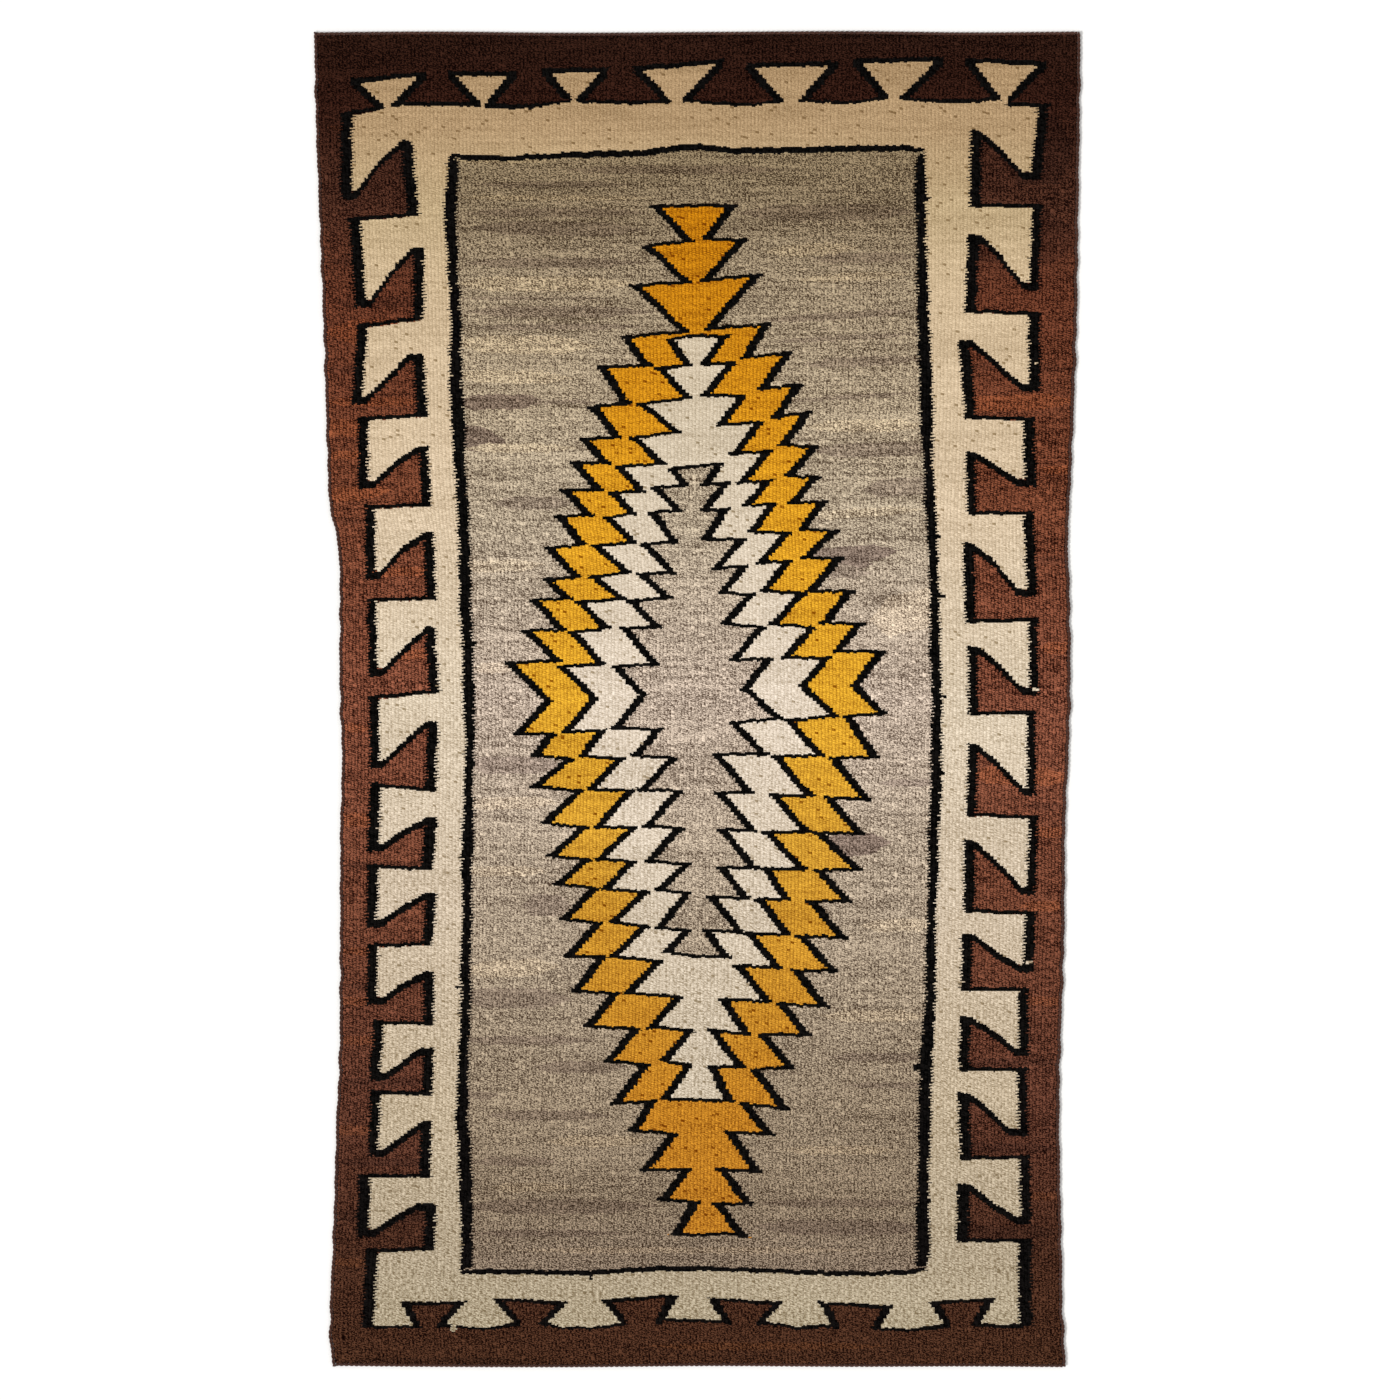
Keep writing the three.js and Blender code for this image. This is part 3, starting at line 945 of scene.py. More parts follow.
ZIGZAGS = table("yarn slant left right top bottom", [
    (GOLD, 9.9, OUTER_LEFT, OUTER_RIGHT, [(693, 205.5)], [(705, 1234.5), (740, 1232.5)]),
    (WHITE, 9.3, MIDDLE_LEFT, MIDDLE_RIGHT, [(677, 338), (697, 335.5)], [(690, 1099.3)]),
    (GREY, 9.3, INNER_LEFT, INNER_RIGHT, [(682, 467.3), (703.6, 465.9)], [(690, 955.3)]),
])
FLAT_LINE = 3.5
SLANT_OVERLAP = 1.2


def flight_path(steps, inward, width):
    """The middle of a flight's black line, from the top of the zigzag to its bottom."""
    half = inward * width / 2
    path = [(steps.upper[0].tip_x + half, steps.upper[0].tip_y)]
    for s in steps.upper[1:]:
        path += [(s.end_x - half, s.end_y), (s.tip_x + half, s.tip_y)]
    path.append((steps.point[0] - half, steps.point[1]))
    for s in steps.lower:
        path += [(s.tip_x + half, s.tip_y), (s.end_x - half, s.end_y)]
    return path


def weave_slant(tip, end, inward, width):
    over = SLANT_OVERLAP if end[1] > tip[1] else -SLANT_OVERLAP
    weave(BLACK, [(tip[0], tip[1] - over), (tip[0] + inward * width, tip[1] - over),
                  (end[0], end[1] + over), (end[0] - inward * width, end[1] + over)])


def weave_flat(start, stop):
    half = FLAT_LINE / 2
    weave(BLACK, [(start[0], start[1] - half), (stop[0], stop[1] - half),
                  (stop[0], stop[1] + half), (start[0], start[1] + half)])


def weave_flight(steps, inward, width):
    """Each slant joins the tip of a step to the inner end of the next one, or to the point."""
    ends = [(s.end_x, s.end_y) for s in steps.upper[1:]] + [steps.point, steps.point]
    ends += [(s.end_x, s.end_y) for s in steps.lower[:-1]]
    for step, end in zip(steps.upper + steps.lower, ends):
        weave_slant((step.tip_x, step.tip_y), end, inward, width)
    for s in steps.upper + steps.lower:
        weave_flat((s.tip_x, s.tip_y), (s.end_x, s.end_y))


def weave_line(points):
    for start, stop in zip(points, points[1:]):
        weave_flat(start, stop)


for z in ZIGZAGS:
    left_path = flight_path(z.left, 1, z.slant)
    right_path = flight_path(z.right, -1, z.slant)
    weave(z.yarn, z.top + right_path + z.bottom[::-1] + left_path[::-1])
for z in ZIGZAGS:
    weave_flight(z.left, 1, z.slant)
    weave_flight(z.right, -1, z.slant)
    for a, between, b in ((z.left.upper[0], z.top, z.right.upper[0]),
                          (z.left.lower[-1], z.bottom, z.right.lower[-1])):
        weave_line([(a.tip_x, a.tip_y), *between, (b.tip_x, b.tip_y)])
print("Zigzag steps:", sum(len(f.upper) + len(f.lower) for z in ZIGZAGS for f in (z.left, z.right)))
print(counts())

# %% [markdown]
# ## Slips of the yarn
# Here and there a black turn pokes out of the frame's line, or the pale end of a weft wasn't tucked
# in. These few slips are on the real rug, and a perfect copy without them would look machine made.

# %% Weave the slips
SLIPS = table("yarn x0 y0 x1 y1 width", [
    (BLACK, 922, 199, 930, 199.5, 3),
    (BLACK, 932, 536, 941, 536.5, 3),
    (BLACK, 937, 596, 945, 596.5, 3),
    (BLACK, 938, 696, 946, 696.5, 3),
    (BLACK, 938, 773, 943.5, 773, 4),
    (BLACK, 931, 1017, 937, 1018, 4),
    (BLACK, 922, 1067, 914, 1067.5, 6),
    (BLACK, 926, 1199, 931, 1199, 3),
    (BLACK, 464, 857, 458, 857, 3),
    (BLACK, 464, 987, 456.5, 987, 3),
    (BLACK, 470, 644, 476, 644, 5),
    (BLACK, 590, 1274, 590.5, 1279, 3),
    (CREAM, 1031, 687, 1037, 691, 3),
    (CREAM, 1026, 961, 1031, 963, 3),
    (CREAM, 455, 1322, 452, 1331, 3.5),
    (CREAM, 1033, 364, 1036, 364, 2.5),
    (CREAM, 957, 93, 958.8, 93, 1.6),
])
for s in SLIPS:
    length = math.hypot(s.x1 - s.x0, s.y1 - s.y0)
    dx, dy = -(s.y1 - s.y0) / length * s.width / 2, (s.x1 - s.x0) / length * s.width / 2
    weave(s.yarn, [(s.x0 + dx, s.y0 + dy), (s.x1 + dx, s.y1 + dy),
                   (s.x1 - dx, s.y1 - dy), (s.x0 - dx, s.y0 - dy)])
print("Slips:", len(SLIPS), counts())

# %% [markdown]
# ## From stitches to cloth
# A quad for every stitch would make half a million faces, most of them beside a neighbour of the
# same yarn. So each half rib is cut only where its yarn changes, and the beads inside such a run
# are left to the material. Neighbouring half ribs share the points of the line between them, crest
# or valley, so the cloth has real ridges and no cracks. Some cuts are made everywhere, and more of
# them near the two sides, so that the cloth can follow its bends. The underside shows the same
# pattern, as on every tapestry, on strips two ribs wide.

# %% Cut the half ribs into runs
CLOTH_THICKNESS = 4.0
RIB_RELIEF = 0.4
EDGE_DROP = 1.6
REGULAR_CUT, SIDE_CUT, SIDE_STRIPS = 41, 6, 6
UNDER_WIDTH = 4
UNDER_STRIPS = HALF_RIBS // UNDER_WIDTH


def runs_along(yarns, near_side):
    """Splits a strip where the yarn changes and at the regular cuts: (start, stop, yarn)."""
    changes = np.flatnonzero(np.diff(yarns)) + 1
    regular = np.arange(0, THROWS + 1, SIDE_CUT if near_side else REGULAR_CUT)
    edges = np.unique(np.concatenate([changes, regular]))
    return [(int(a), int(b), int(yarns[a])) for a, b in zip(edges, edges[1:])]


def cuts_of_lines(run_lists):
    """The cuts of each line between strips: those of the strip before it and of the one after."""
    cuts = [sorted({cut for run in runs for cut in run[:2]}) for runs in run_lists]
    inner = [sorted({*a, *b}) for a, b in zip(cuts, cuts[1:])]
    return [cuts[0], *inner, cuts[-1]]


over_runs = [runs_along(loom[k], min(k, HALF_RIBS - 1 - k) < SIDE_STRIPS) for k in range(HALF_RIBS)]
under_runs = [
    runs_along(loom[UNDER_WIDTH * k + 1], k in (0, UNDER_STRIPS - 1)) for k in range(UNDER_STRIPS)
]
over_cuts, under_cuts = cuts_of_lines(over_runs), cuts_of_lines(under_runs)
print("Runs on the face:", sum(map(len, over_runs)), "and under it:", sum(map(len, under_runs)))

# %% Make points, faces and their places on the weave's map
UNDER_TAG = 1000
points, point_line, point_row = [], [], []
corners, corner_map, sizes, face_yarn = [], [], [], []


def make_line(line, cuts, z, tag):
    """Puts the points of one line along the cloth, and returns them by their place in throws.

    The tag tells the lines apart afterwards: those of the underside have tags from UNDER_TAG on.
    """
    made = {}
    for cut in cuts:
        made[cut] = len(points)
        points.append((place_x[line, cut] * MM, place_y[line, cut] * MM, z * MM))
        point_line.append(tag)
        point_row.append(cut)
    return made


def make_face(ring, yarn):
    """A face from (point, line, throw) corners. Its map counts ribs and beads."""
    for point, line, throw in ring:
        corners.append(point)
        corner_map.append((line / 2, throw / 2))
    sizes.append(len(ring))
    face_yarn.append(yarn)


def stretch(points_of_line, cuts, line, start, stop):
    """The corners of one line from one cut to another."""
    first, last = np.searchsorted(cuts, (start, stop))
    return [(points_of_line[cut], line, cut) for cut in cuts[first : last + 1]]


def height_of(line):
    if line in (0, HALF_RIBS):
        return CLOTH_THICKNESS - EDGE_DROP
    return CLOTH_THICKNESS if line % 2 else CLOTH_THICKNESS - RIB_RELIEF


over = [make_line(k, cuts, height_of(k), k) for k, cuts in enumerate(over_cuts)]
under = [make_line(UNDER_WIDTH * k, cuts, 0, UNDER_TAG + k) for k, cuts in enumerate(under_cuts)]
for k, runs in enumerate(over_runs):
    for start, stop, yarn in runs:
        left = stretch(over[k], over_cuts[k], k, start, stop)
        right = stretch(over[k + 1], over_cuts[k + 1], k + 1, start, stop)
        make_face(right + left[::-1], yarn)
for k, runs in enumerate(under_runs):
    line = UNDER_WIDTH * k
    for start, stop, yarn in runs:
        left = stretch(under[k], under_cuts[k], line, start, stop)
        right = stretch(under[k + 1], under_cuts[k + 1], line + UNDER_WIDTH, start, stop)
        make_face(left + right[::-1], yarn)
print("Points:", len(points), "faces of the two sides:", len(sizes))

# %% Close the cloth's edges
for start in range(0, THROWS, SIDE_CUT):
    stop = start + SIDE_CUT
    left = stretch(over[0], over_cuts[0], 0, start, stop)
    make_face(left + stretch(under[0], under_cuts[0], 1, start, stop)[::-1], BROWN)
    right = stretch(over[-1], over_cuts[-1], HALF_RIBS, start, stop)
    make_face(stretch(under[-1], under_cuts[-1], HALF_RIBS - 1, start, stop) + right[::-1], BROWN)
for cut, inner in ((0, 1), (THROWS, THROWS - 1)):
    for k in range(UNDER_STRIPS):
        first, last = UNDER_WIDTH * k, UNDER_WIDTH * (k + 1)
        ring = [(under[k][cut], first, inner), (under[k + 1][cut], last, inner)]
        ring += [(over[line][cut], line, cut) for line in range(last, first - 1, -1)]
        make_face(ring if cut == 0 else ring[::-1], BROWN)

starts = np.concatenate([[0], np.cumsum(sizes)[:-1]])
rug_mesh = bpy.data.meshes.new("woven_rug")
rug_mesh.from_pydata(points, [], [corners[s : s + n] for s, n in zip(starts, sizes)])
rug_mesh.polygons.foreach_set("material_index", np.array(face_yarn, np.int32))
rug_mesh.polygons.foreach_set("use_smooth", np.ones(len(sizes), bool))

weave_map = np.array(corner_map, np.float32)
bake_layer = rug_mesh.uv_layers.new(name="OFBake")
bake_layer.uv.foreach_set("vector", (weave_map / np.array([RIBS, BEADS], np.float32)).ravel())
weave_layer = rug_mesh.uv_layers.new(name="warp_and_weft")
weave_layer.uv.foreach_set("vector", weave_map.ravel())

edge_ends = np.empty(2 * len(rug_mesh.edges), np.int32)
rug_mesh.edges.foreach_get("vertices", edge_ends)
a, b = edge_ends.reshape(-1, 2).T
line_of, row_of = np.array(point_line), np.array(point_row)
valley_edge = (line_of[a] == line_of[b]) & ((line_of[a] % 2 == 0) | (line_of[a] >= UNDER_TAG))
end_edge = (row_of[a] == row_of[b]) & np.isin(row_of[a], (0, THROWS))
sharp = rug_mesh.attributes.new("sharp_edge", "BOOLEAN", "EDGE")
sharp.data.foreach_set("value", valley_edge | end_edge)
rug_mesh.update()

rug = bpy.data.objects.new("woven_rug", rug_mesh)
scene.collection.objects.link(rug)
rug_mesh.calc_loop_triangles()
print("Triangles in the cloth:", len(rug_mesh.loop_triangles))

# %% [markdown]
# ## Handspun wool
# Each colour is wool yarn, carded and spun by hand: matt, a little fuzzy, and never one even shade.
# One node group works out the beads from the rib and bead counts on the cloth's own map. It gives
# the beads' height, and five kinds of unevenness around nought: of single beads, of the fibres in
# them, of the fuzz that felts them together, of the streaks that carding leaves along a weft, and
# of the broad bands of one spinning. The fibres stand out more at both ends, which are rubbed most,
# the fuzz is strongest towards the narrow end, which was walked on most, and the streaks towards
# the wide end, where the carding is coarser. A bead in seventy has a speck of other wool in it. The
# sums are tables, a row for each node, and read like a recipe.

# %% The weave as a node group
weave_group = bpy.data.node_groups.new("weft_faced_weave", "ShaderNodeTree")
# Gap is the bead's height around its mean. The yarns use it only for colour, as painted shade in the gaps
# between beads and painted light on the beads' tops.
OUTPUTS = ("Height", "Gap", "Bead", "Fibre", "Fuzz", "Streak", "Band", "Speck", "Along")
for name in OUTPUTS:
    weave_group.interface.new_socket(name, in_out="OUTPUT", socket_type="NodeSocketFloat")

counted = add(weave_group, "ShaderNodeUVMap", {"uv_map": "warp_and_weft"})
split = add(weave_group, "ShaderNodeSeparateXYZ", None, {0: counted.outputs[0]})
found = {"rib_count": split.outputs[0], "bead_count": split.outputs[1]}


def work_out(sums):
    """Adds a maths node for every row: its name, its operation and its terms.

    A term is the name of an earlier result, or a number.
    """
    for name, operation, *terms in sums:
        inputs = {i: found.get(term, term) for i, term in enumerate(terms)}
        found[name] = add(weave_group, "ShaderNodeMath", {"operation": operation}, inputs).outputs[0]


MEAN_HEIGHT = 0.52
LEAN = 0.35
SPECK_FROM = 0.985
work_out([
    ("rib", "FLOOR", "rib_count"),
    ("across_rib", "FRACT", "rib_count"),
    ("odd_rib", "MODULO", "rib", 2.0),
    ("leaning", "MULTIPLY_ADD", "across_rib", LEAN, "bead_count"),
    ("weft_count", "MULTIPLY_ADD", "odd_rib", 0.5, "leaning"),
    ("bead", "FLOOR", "weft_count"),
    ("along_bead", "FRACT", "weft_count"),
    ("across_angle", "MULTIPLY", "across_rib", math.pi),
    ("along_angle", "MULTIPLY", "along_bead", math.pi),
    ("across_sine", "SINE", "across_angle"),
    ("along_sine", "SINE", "along_angle"),
    ("hump_across", "POWER", "across_sine", 0.7),
    ("hump_along", "POWER", "along_sine", 0.6),
    ("bead_height", "MULTIPLY", "hump_across", "hump_along"),
    # The bead's height around its mean, for painted shade between the beads and painted light on their tops.
    ("Gap", "SUBTRACT", "bead_height", MEAN_HEIGHT),
    ("Along", "DIVIDE", "bead_count", float(BEADS)),
])

bead_key = add(weave_group, "ShaderNodeCombineXYZ", None, {0: found["rib"], 1: found["bead"]})
bead_chance = add(weave_group, "ShaderNodeTexWhiteNoise", {"noise_dimensions": "2D"},
                  {"Vector": bead_key.outputs[0]})
found["chance"] = bead_chance.outputs["Value"]
work_out([
    ("Bead", "SUBTRACT", "chance", 0.5),
    ("Speck", "GREATER_THAN", "chance", SPECK_FROM),
])

# %% The grain of the wool
GRAINS = table("name per_rib per_bead detail", [
    ("Fibre", 1.8, 1.9, 2.0),
    ("Fuzz", 0.9, 1.5, 2.0),
    ("Streak", 0.035, 0.62, 2.0),
    ("Band", 0.008, 0.06, 3.0),
])
NOISE_SPREAD = 2.4
for grain in GRAINS:
    work_out([
        ("across_grain", "MULTIPLY", "rib_count", grain.per_rib),
        ("along_grain", "MULTIPLY", "weft_count", grain.per_bead),
    ])
    place = add(weave_group, "ShaderNodeCombineXYZ", None,
                {0: found["across_grain"], 1: found["along_grain"]})
    noise = add(weave_group, "ShaderNodeTexNoise", {"noise_dimensions": "2D"},
                {"Vector": place.outputs[0], "Scale": 1.0, "Detail": grain.detail, "Roughness": 0.6})
    found["noise"] = noise.outputs[0]
    work_out([
        ("centred", "SUBTRACT", "noise", 0.5),
        (grain.name, "MULTIPLY", "centred", NOISE_SPREAD),
    ])
work_out([
    ("from_middle", "SUBTRACT", "Along", 0.5),
    ("squared", "MULTIPLY", "from_middle", "from_middle"),
    ("rubbing", "MULTIPLY_ADD", "squared", 3.6, 0.74),
    ("Fibre", "MULTIPLY", "Fibre", "rubbing"),
    ("wear", "MULTIPLY_ADD", "Along", -2.3, 2.2),
    ("Fuzz", "MULTIPLY", "Fuzz", "wear"),
    ("carding", "MULTIPLY_ADD", "Along", 0.9, 0.4),
    ("Streak", "MULTIPLY", "Streak", "carding"),
    ("Height", "MULTIPLY_ADD", "Fibre", 0.3, "bead_height"),
])
add(weave_group, "NodeGroupOutput", None, {name: found[name] for name in OUTPUTS})
print("Nodes in the weave group:", len(weave_group.nodes))

# %% [markdown]
# ## One recipe for all the yarns
# A dye's shade changes along the rug, so each dye has a row of shades from the narrow end to the
# wide one. Both ends are darker, and that is largely painted shade: the light falls off from the
# middle towards them. The shades are mean colours of small patches of the photograph, adjusted a
# little. They are mean colours of small patches of the photograph, adjusted a little against the renders. A
# yarn takes a dye, lighter or darker by its batch, and spreads it between a deep and a pale tint, fibre by
# fibre, round the share in its row and by the strengths there. Brown and grey wool is the most uneven, cream
# the least. Each yarn also paints shade into the gaps between its beads and light onto their tops. Wool
# scatters light at the tips of its fibres, which a very little sheen stands for.

# %% Dyes and yarns
# Shades are (place along the rug, colour) pairs.
# Each row darkens towards both ends of the rug, and that darkening is largely painted shade of light falling
# off from the middle.
DYES_WITH_END_SHADE = {
    "brown": [(0.0, "#40271a"), (0.09, "#43281c"), (0.2, "#553225"), (0.35, "#673c2b"),
              (0.5, "#734331"), (0.65, "#693b28"), (0.8, "#593020"), (0.87, "#42261b"),
              (0.95, "#2a150e"), (1.0, "#27150e")],
    "black": [(0.0, "#0d0b0a"), (1.0, "#0a0908")],
    "cream": [(0.0, "#aea085"), (0.08, "#b0a087"), (0.2, "#bfad92"), (0.35, "#ccbaa2"),
              (0.5, "#d6c5ac"), (0.65, "#d4bea0"), (0.8, "#c9b18f"), (0.87, "#bfa781"),
              (0.93, "#b0936e"), (1.0, "#a48661")],
    "white": [(0.1, "#bfb19b"), (0.28, "#cabaa3"), (0.5, "#ddcdb9"), (0.7, "#cfbfa6"),
              (0.8, "#cbba9f")],
    "gold": [(0.1, "#b57622"), (0.19, "#bb7b22"), (0.39, "#cb9530"), (0.5, "#daa12c"),
             (0.65, "#d49520"), (0.72, "#cb8818"), (0.8, "#c07c12"), (0.87, "#b8730c")],
    "grey": [(0.07, "#81705f"), (0.12, "#84735f"), (0.2, "#907f6a"), (0.27, "#9b8a75"),
             (0.39, "#ab9a86"), (0.5, "#b8a695"), (0.63, "#a99983"), (0.72, "#a19078"),
             (0.81, "#93826a"), (0.86, "#83725a"), (0.91, "#7b6a51")],
}
# The gap column sets how strongly shade is painted into the gaps between beads and light onto their tops.
SPREADS = table("name deep pale share bead fibre fuzz streak band gap speck sheen", [
    ("brown", (0.08, 0.03, 0.03), (2.2, 2.24, 2.24), 0.43, 0.6, 1.65, 0.1, 0.3, 0.2, 0.65, 1.2, 0.0),
    ("black", (0.0, 0.0, 0.0), (2.0, 2.0, 2.0), 0.5, 0.8, 0.9, 0.1, 0.1, 0.1, 0.5, 2.0, 0.0),
    ("cream", (0.5, 0.45, 0.36), (1.5, 1.55, 1.64), 0.5, 0.18, 0.44, 0.55, 0.16, 0.12, 0.14, -0.7, 0.03),
    ("gold", (0.35, 0.2, 0.0), (1.65, 1.8, 2.0), 0.5, 0.22, 0.6, 0.2, 0.2, 0.1, 0.38, -0.7, 0.02),
    ("grey", (0.15, 0.1, 0.07), (1.92, 1.97, 2.0), 0.47, 0.45, 1.5, 0.15, 0.35, 0.18, 0.25, 0.5, 0.0),
])
SPREAD_BY_NAME = {row.name: row for row in SPREADS}
YARN_TABLE = table("material dye spread batch", [
    ("vegetal brown handspun wool", "brown", "brown", (1, 1, 1)),
    ("black dyed handspun wool", "black", "black", (1, 1, 1)),
    ("undyed cream handspun wool", "cream", "cream", (1, 1, 1)),
    ("gold dyed handspun wool", "gold", "gold", (1, 1, 1)),
    ("carded grey handspun wool", "grey", "grey", (1, 1, 1)),
    ("rust brown handspun wool", "brown", "brown", (1.3, 1.22, 1.05)),
    ("umber brown handspun wool", "brown", "brown", (0.76, 0.78, 0.82)),
    ("dark carded grey handspun wool", "grey", "grey", (0.74, 0.71, 0.73)),
    ("pale carded grey handspun wool", "grey", "grey", (1.24, 1.23, 1.19)),
    ("deep carded grey handspun wool", "grey", "grey", (0.56, 0.51, 0.54)),
    ("undyed white handspun wool", "white", "cream", (1, 1, 1)),
])


# %% Spin the yarns
BEAD_BUMP, BUMP_STRENGTH = 0.5 * MM, 0.7
WOOL_SURFACE = {
    "Roughness": 0.95, "IOR": 1.45, "Specular IOR Level": 0.02, "Sheen Roughness": 0.5,
}


def spin(yarn):
    material = bpy.data.materials.new(yarn.material)
    material.use_nodes = True
    tree = material.node_tree
    out = add(tree, "ShaderNodeGroup", {"node_tree": weave_group}).outputs
    # The ramp darkens towards both ends of the rug: largely painted shade of light falling off from the
    # middle.
    dye = add(tree, "ShaderNodeValToRGB", None, {0: out["Along"]})
    shades, spread = table("along colour", DYES_WITH_END_SHADE[yarn.dye]), SPREAD_BY_NAME[yarn.spread]
    stops = dye.color_ramp.elements
    stops[0].position, stops[1].position = shades[0].along, shades[-1].along
    stops[0].color, stops[1].color = linear(shades[0].colour), linear(shades[-1].colour)
    for shade in shades[1:-1]:
        stops.new(shade.along).color = linear(shade.colour)

    share = spread.share
    # Gap paints shade into the gaps between beads and light onto their tops. The other kinds are the wool's
    # own unevenness.
    for kind in ("Bead", "Fibre", "Fuzz", "Streak", "Band", "Gap", "Speck"):
        amount = getattr(spread, kind.lower())
        share = add(tree, "ShaderNodeMath", {"operation": "MULTIPLY_ADD"},
                    {0: out[kind], 1: amount, 2: share}).outputs[0]
    tints = []
    for end in (spread.deep, spread.pale):
        tint = tuple(a * b for a, b in zip(end, yarn.batch))
        tints.append(add(tree, "ShaderNodeVectorMath", {"operation": "MULTIPLY"},
                         {0: dye.outputs[0], 1: tint}))
    carded = add(tree, "ShaderNodeMix", {"data_type": "RGBA"},
                 {0: share, 6: tints[0].outputs[0], 7: tints[1].outputs[0]})
    bump = add(tree, "ShaderNodeBump", None,
               {"Height": out["Height"], "Distance": BEAD_BUMP, "Strength": BUMP_STRENGTH})
    wool = tree.nodes["Principled BSDF"]
    tree.links.new(carded.outputs[2], wool.inputs["Base Color"])
    tree.links.new(bump.outputs[0], wool.inputs["Normal"])
    for name, value in {**WOOL_SURFACE, "Sheen Weight": spread.sheen}.items():
        wool.inputs[name].default_value = value
    return material


for yarn in YARN_TABLE:
    rug_mesh.materials.append(spin(yarn))
print("Yarns:", [m.name for m in rug_mesh.materials])

# %% [markdown]
# ## The selvedge cords
# Along each edge lies a cord of two plies, twisted round each other. A path with a helix round it is
# just what Geometry Nodes are good at: the tree walks along the path, sets two helices off from it,
# half a turn apart, and sweeps a round section along each. The twist's length and the plies'
# thickness are named inputs.

# %% The cord tree
STEPS_PER_TWIST = 8.0
PLY_SIDES = 6
cord_tree = bpy.data.node_groups.new("two_ply_cord", "GeometryNodeTree")
c = cord_tree
sockets = {}
sockets["Path"] = c.interface.new_socket("Path", in_out="INPUT", socket_type="NodeSocketGeometry")
for name, value in (("Twist Length", 0.0125), ("Ply Radius", 0.00118), ("Lay Radius", 0.00105)):
    socket = c.interface.new_socket(name, in_out="INPUT", socket_type="NodeSocketFloat")
    socket.default_value = value
    sockets[name] = socket
sockets["Wool"] = c.interface.new_socket("Wool", in_out="INPUT", socket_type="NodeSocketMaterial")
c.interface.new_socket("Cord", in_out="OUTPUT", socket_type="NodeSocketGeometry")

group_in = add(c, "NodeGroupInput")
curve = add(c, "GeometryNodeMeshToCurve", None, {0: group_in.outputs["Path"]})
step = add(c, "ShaderNodeMath", {"operation": "DIVIDE"},
           {0: group_in.outputs["Twist Length"], 1: STEPS_PER_TWIST})
fine = add(c, "GeometryNodeResampleCurve", {"mode": "LENGTH"},
           {"Curve": curve.outputs[0], "Length": step.outputs[0]})
walked = add(c, "GeometryNodeSplineParameter")
turns = add(c, "ShaderNodeMath", {"operation": "DIVIDE"},
            {0: walked.outputs["Length"], 1: group_in.outputs["Twist Length"]})
tangent = add(c, "GeometryNodeInputTangent")
sideways = add(c, "ShaderNodeVectorMath", {"operation": "CROSS_PRODUCT"},
               {0: tangent.outputs[0], 1: (0, 0, 1)})
section = add(c, "GeometryNodeCurvePrimitiveCircle", None,
              {"Resolution": PLY_SIDES, "Radius": group_in.outputs["Ply Radius"]})
plies = add(c, "GeometryNodeJoinGeometry")
for phase in (0.0, math.pi):
    angle = add(c, "ShaderNodeMath", {"operation": "MULTIPLY_ADD"},
                {0: turns.outputs[0], 1: 2 * math.pi, 2: phase})
    out_side = add(c, "ShaderNodeMath", {"operation": "COSINE"}, {0: angle.outputs[0]})
    out_up = add(c, "ShaderNodeMath", {"operation": "SINE"}, {0: angle.outputs[0]})
    side_part = add(c, "ShaderNodeVectorMath", {"operation": "SCALE"},
                    {0: sideways.outputs[0], "Scale": out_side.outputs[0]})
    up_part = add(c, "ShaderNodeCombineXYZ", None, {2: out_up.outputs[0]})
    both = add(c, "ShaderNodeVectorMath", {"operation": "ADD"},
               {0: side_part.outputs[0], 1: up_part.outputs[0]})
    reach_out = add(c, "ShaderNodeVectorMath", {"operation": "SCALE"},
                    {0: both.outputs[0], "Scale": group_in.outputs["Lay Radius"]})
    helix = add(c, "GeometryNodeSetPosition", None,
                {"Geometry": fine.outputs[0], "Offset": reach_out.outputs[0]})
    swept = add(c, "GeometryNodeCurveToMesh", None,
                {"Curve": helix.outputs[0], "Profile Curve": section.outputs[0], "Fill Caps": True})
    c.links.new(swept.outputs[0], plies.inputs[0])
smooth = add(c, "GeometryNodeSetShadeSmooth", None, {0: plies.outputs[0]})
real = add(c, "GeometryNodeRealizeInstances", None, {0: smooth.outputs[0]})
worn = add(c, "GeometryNodeSetMaterial", None,
           {"Geometry": real.outputs[0], "Material": group_in.outputs["Wool"]})
add(c, "NodeGroupOutput", None, {"Cord": worn.outputs[0]})
print("Nodes in the cord tree:", len(c.nodes))

# %% [markdown]
# ## The cords' wool
# The cords are spun from the brown wool of the border. Noise that is long in the rug's plane would
# smear across the twist, so the shade varies by small spots a few millimetres wide, about one for
# each turn of a ply, with fine fibres in the bump.

# %% The cords' material
SPOTS_PER_METRE, BANDS_PER_METRE, FIBRES_PER_METRE = 260.0, 9.0, 1800.0
CORD_BUMP = 0.3 * MM
cord_wool = bpy.data.materials.new("brown two-ply cord wool")
cord_wool.use_nodes = True
t = cord_wool.node_tree
place = add(t, "ShaderNodeTexCoord").outputs["Object"]
spots = add(t, "ShaderNodeTexNoise", None, {"Vector": place, "Scale": SPOTS_PER_METRE, "Detail": 2.0})
long_bands = add(t, "ShaderNodeTexNoise", None, {"Vector": place, "Scale": BANDS_PER_METRE, "Detail": 1.0})
shades = add(t, "ShaderNodeMix", {"data_type": "RGBA"},
             {0: spots.outputs[0], 6: linear("#38201a"), 7: linear("#6a402f")})
banded = add(t, "ShaderNodeMix", {"data_type": "RGBA", "blend_type": "MULTIPLY"},
             {0: 0.5, 6: shades.outputs[2], 7: long_bands.outputs[0]})
fibres = add(t, "ShaderNodeTexNoise", None, {"Vector": place, "Scale": FIBRES_PER_METRE, "Detail": 1.0})
fuzz = add(t, "ShaderNodeBump", None,
           {"Height": fibres.outputs[0], "Distance": CORD_BUMP, "Strength": 0.5})
wool = t.nodes["Principled BSDF"]
t.links.new(banded.outputs[2], wool.inputs["Base Color"])
t.links.new(fuzz.outputs[0], wool.inputs["Normal"])
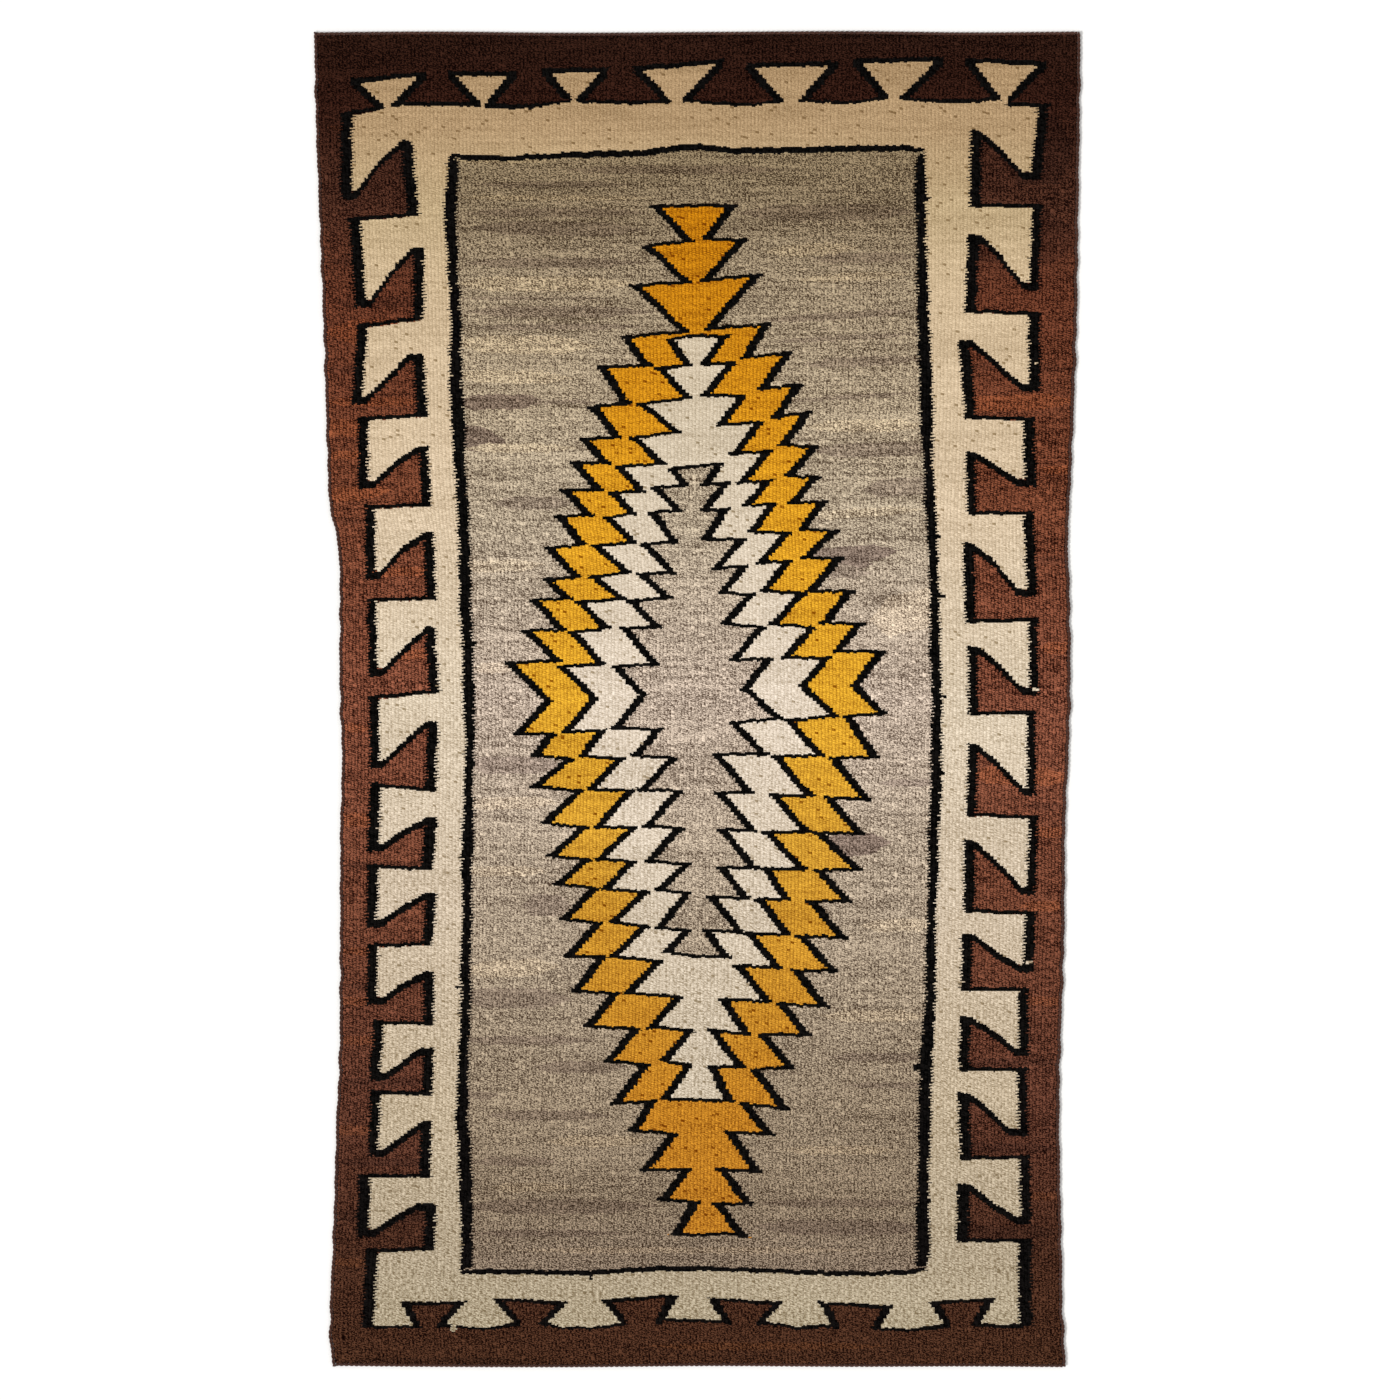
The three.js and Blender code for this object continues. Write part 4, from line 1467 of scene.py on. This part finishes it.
for name, value in {"Roughness": 0.92, "Specular IOR Level": 0.25, "Sheen Weight": 0.12}.items():
    wool.inputs[name].default_value = value

# %% Lay the cords
CORD_RISE = 2.3
CORD_END_GAP = 1.5
SIDE_POINTS, END_POINTS = 280, 150


def twist_cord(name, path):
    line = bpy.data.meshes.new(name)
    line.from_pydata([(x * MM, y * MM, CORD_RISE * MM) for x, y in path],
                     [(i, i + 1) for i in range(len(path) - 1)], [])
    laid = bpy.data.objects.new(name + "_path", line)
    scene.collection.objects.link(laid)
    modifier = laid.modifiers.new("twist", "NODES")
    modifier.node_group = cord_tree
    modifier[sockets["Wool"].identifier] = cord_wool
    shown = laid.evaluated_get(bpy.context.evaluated_depsgraph_get())
    made = bpy.data.meshes.new_from_object(shown)
    bpy.data.objects.remove(laid)
    cord = bpy.data.objects.new(name, made)
    scene.collection.objects.link(cord)
    made.calc_loop_triangles()
    print(name, "has", len(made.loop_triangles), "triangles")
    return cord


radius = CORD_DIAMETER / 2
alongs = np.linspace(-HALF_LENGTH + CORD_END_GAP, HALF_LENGTH - CORD_END_GAP, SIDE_POINTS)
acrosses = {
    end: np.linspace(left_edge(end) + CORD_DIAMETER, right_edge(end) - CORD_DIAMETER, END_POINTS)
    for end in (-HALF_LENGTH, HALF_LENGTH)
}
cords = {
    "side_cord_left": [(left_edge(y) + radius, y) for y in alongs],
    "side_cord_right": [(right_edge(y) - radius, y) for y in alongs],
    "end_cord_wide": [(x, wide_edge(x) - radius) for x in acrosses[HALF_LENGTH]],
    "end_cord_narrow": [(x, narrow_edge(x) + radius) for x in acrosses[-HALF_LENGTH]],
}
for node, path in cords.items():
    piece = twist_cord("twisted_" + node, path)
    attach(piece, "root")
    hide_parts(node)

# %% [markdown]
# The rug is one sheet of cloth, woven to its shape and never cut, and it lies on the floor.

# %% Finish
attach(rug, "root")
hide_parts("rug_cloth")
woven_area = float(np.mean(right_edge(all_along) - left_edge(all_along))) * 2 * HALF_LENGTH * MM * MM
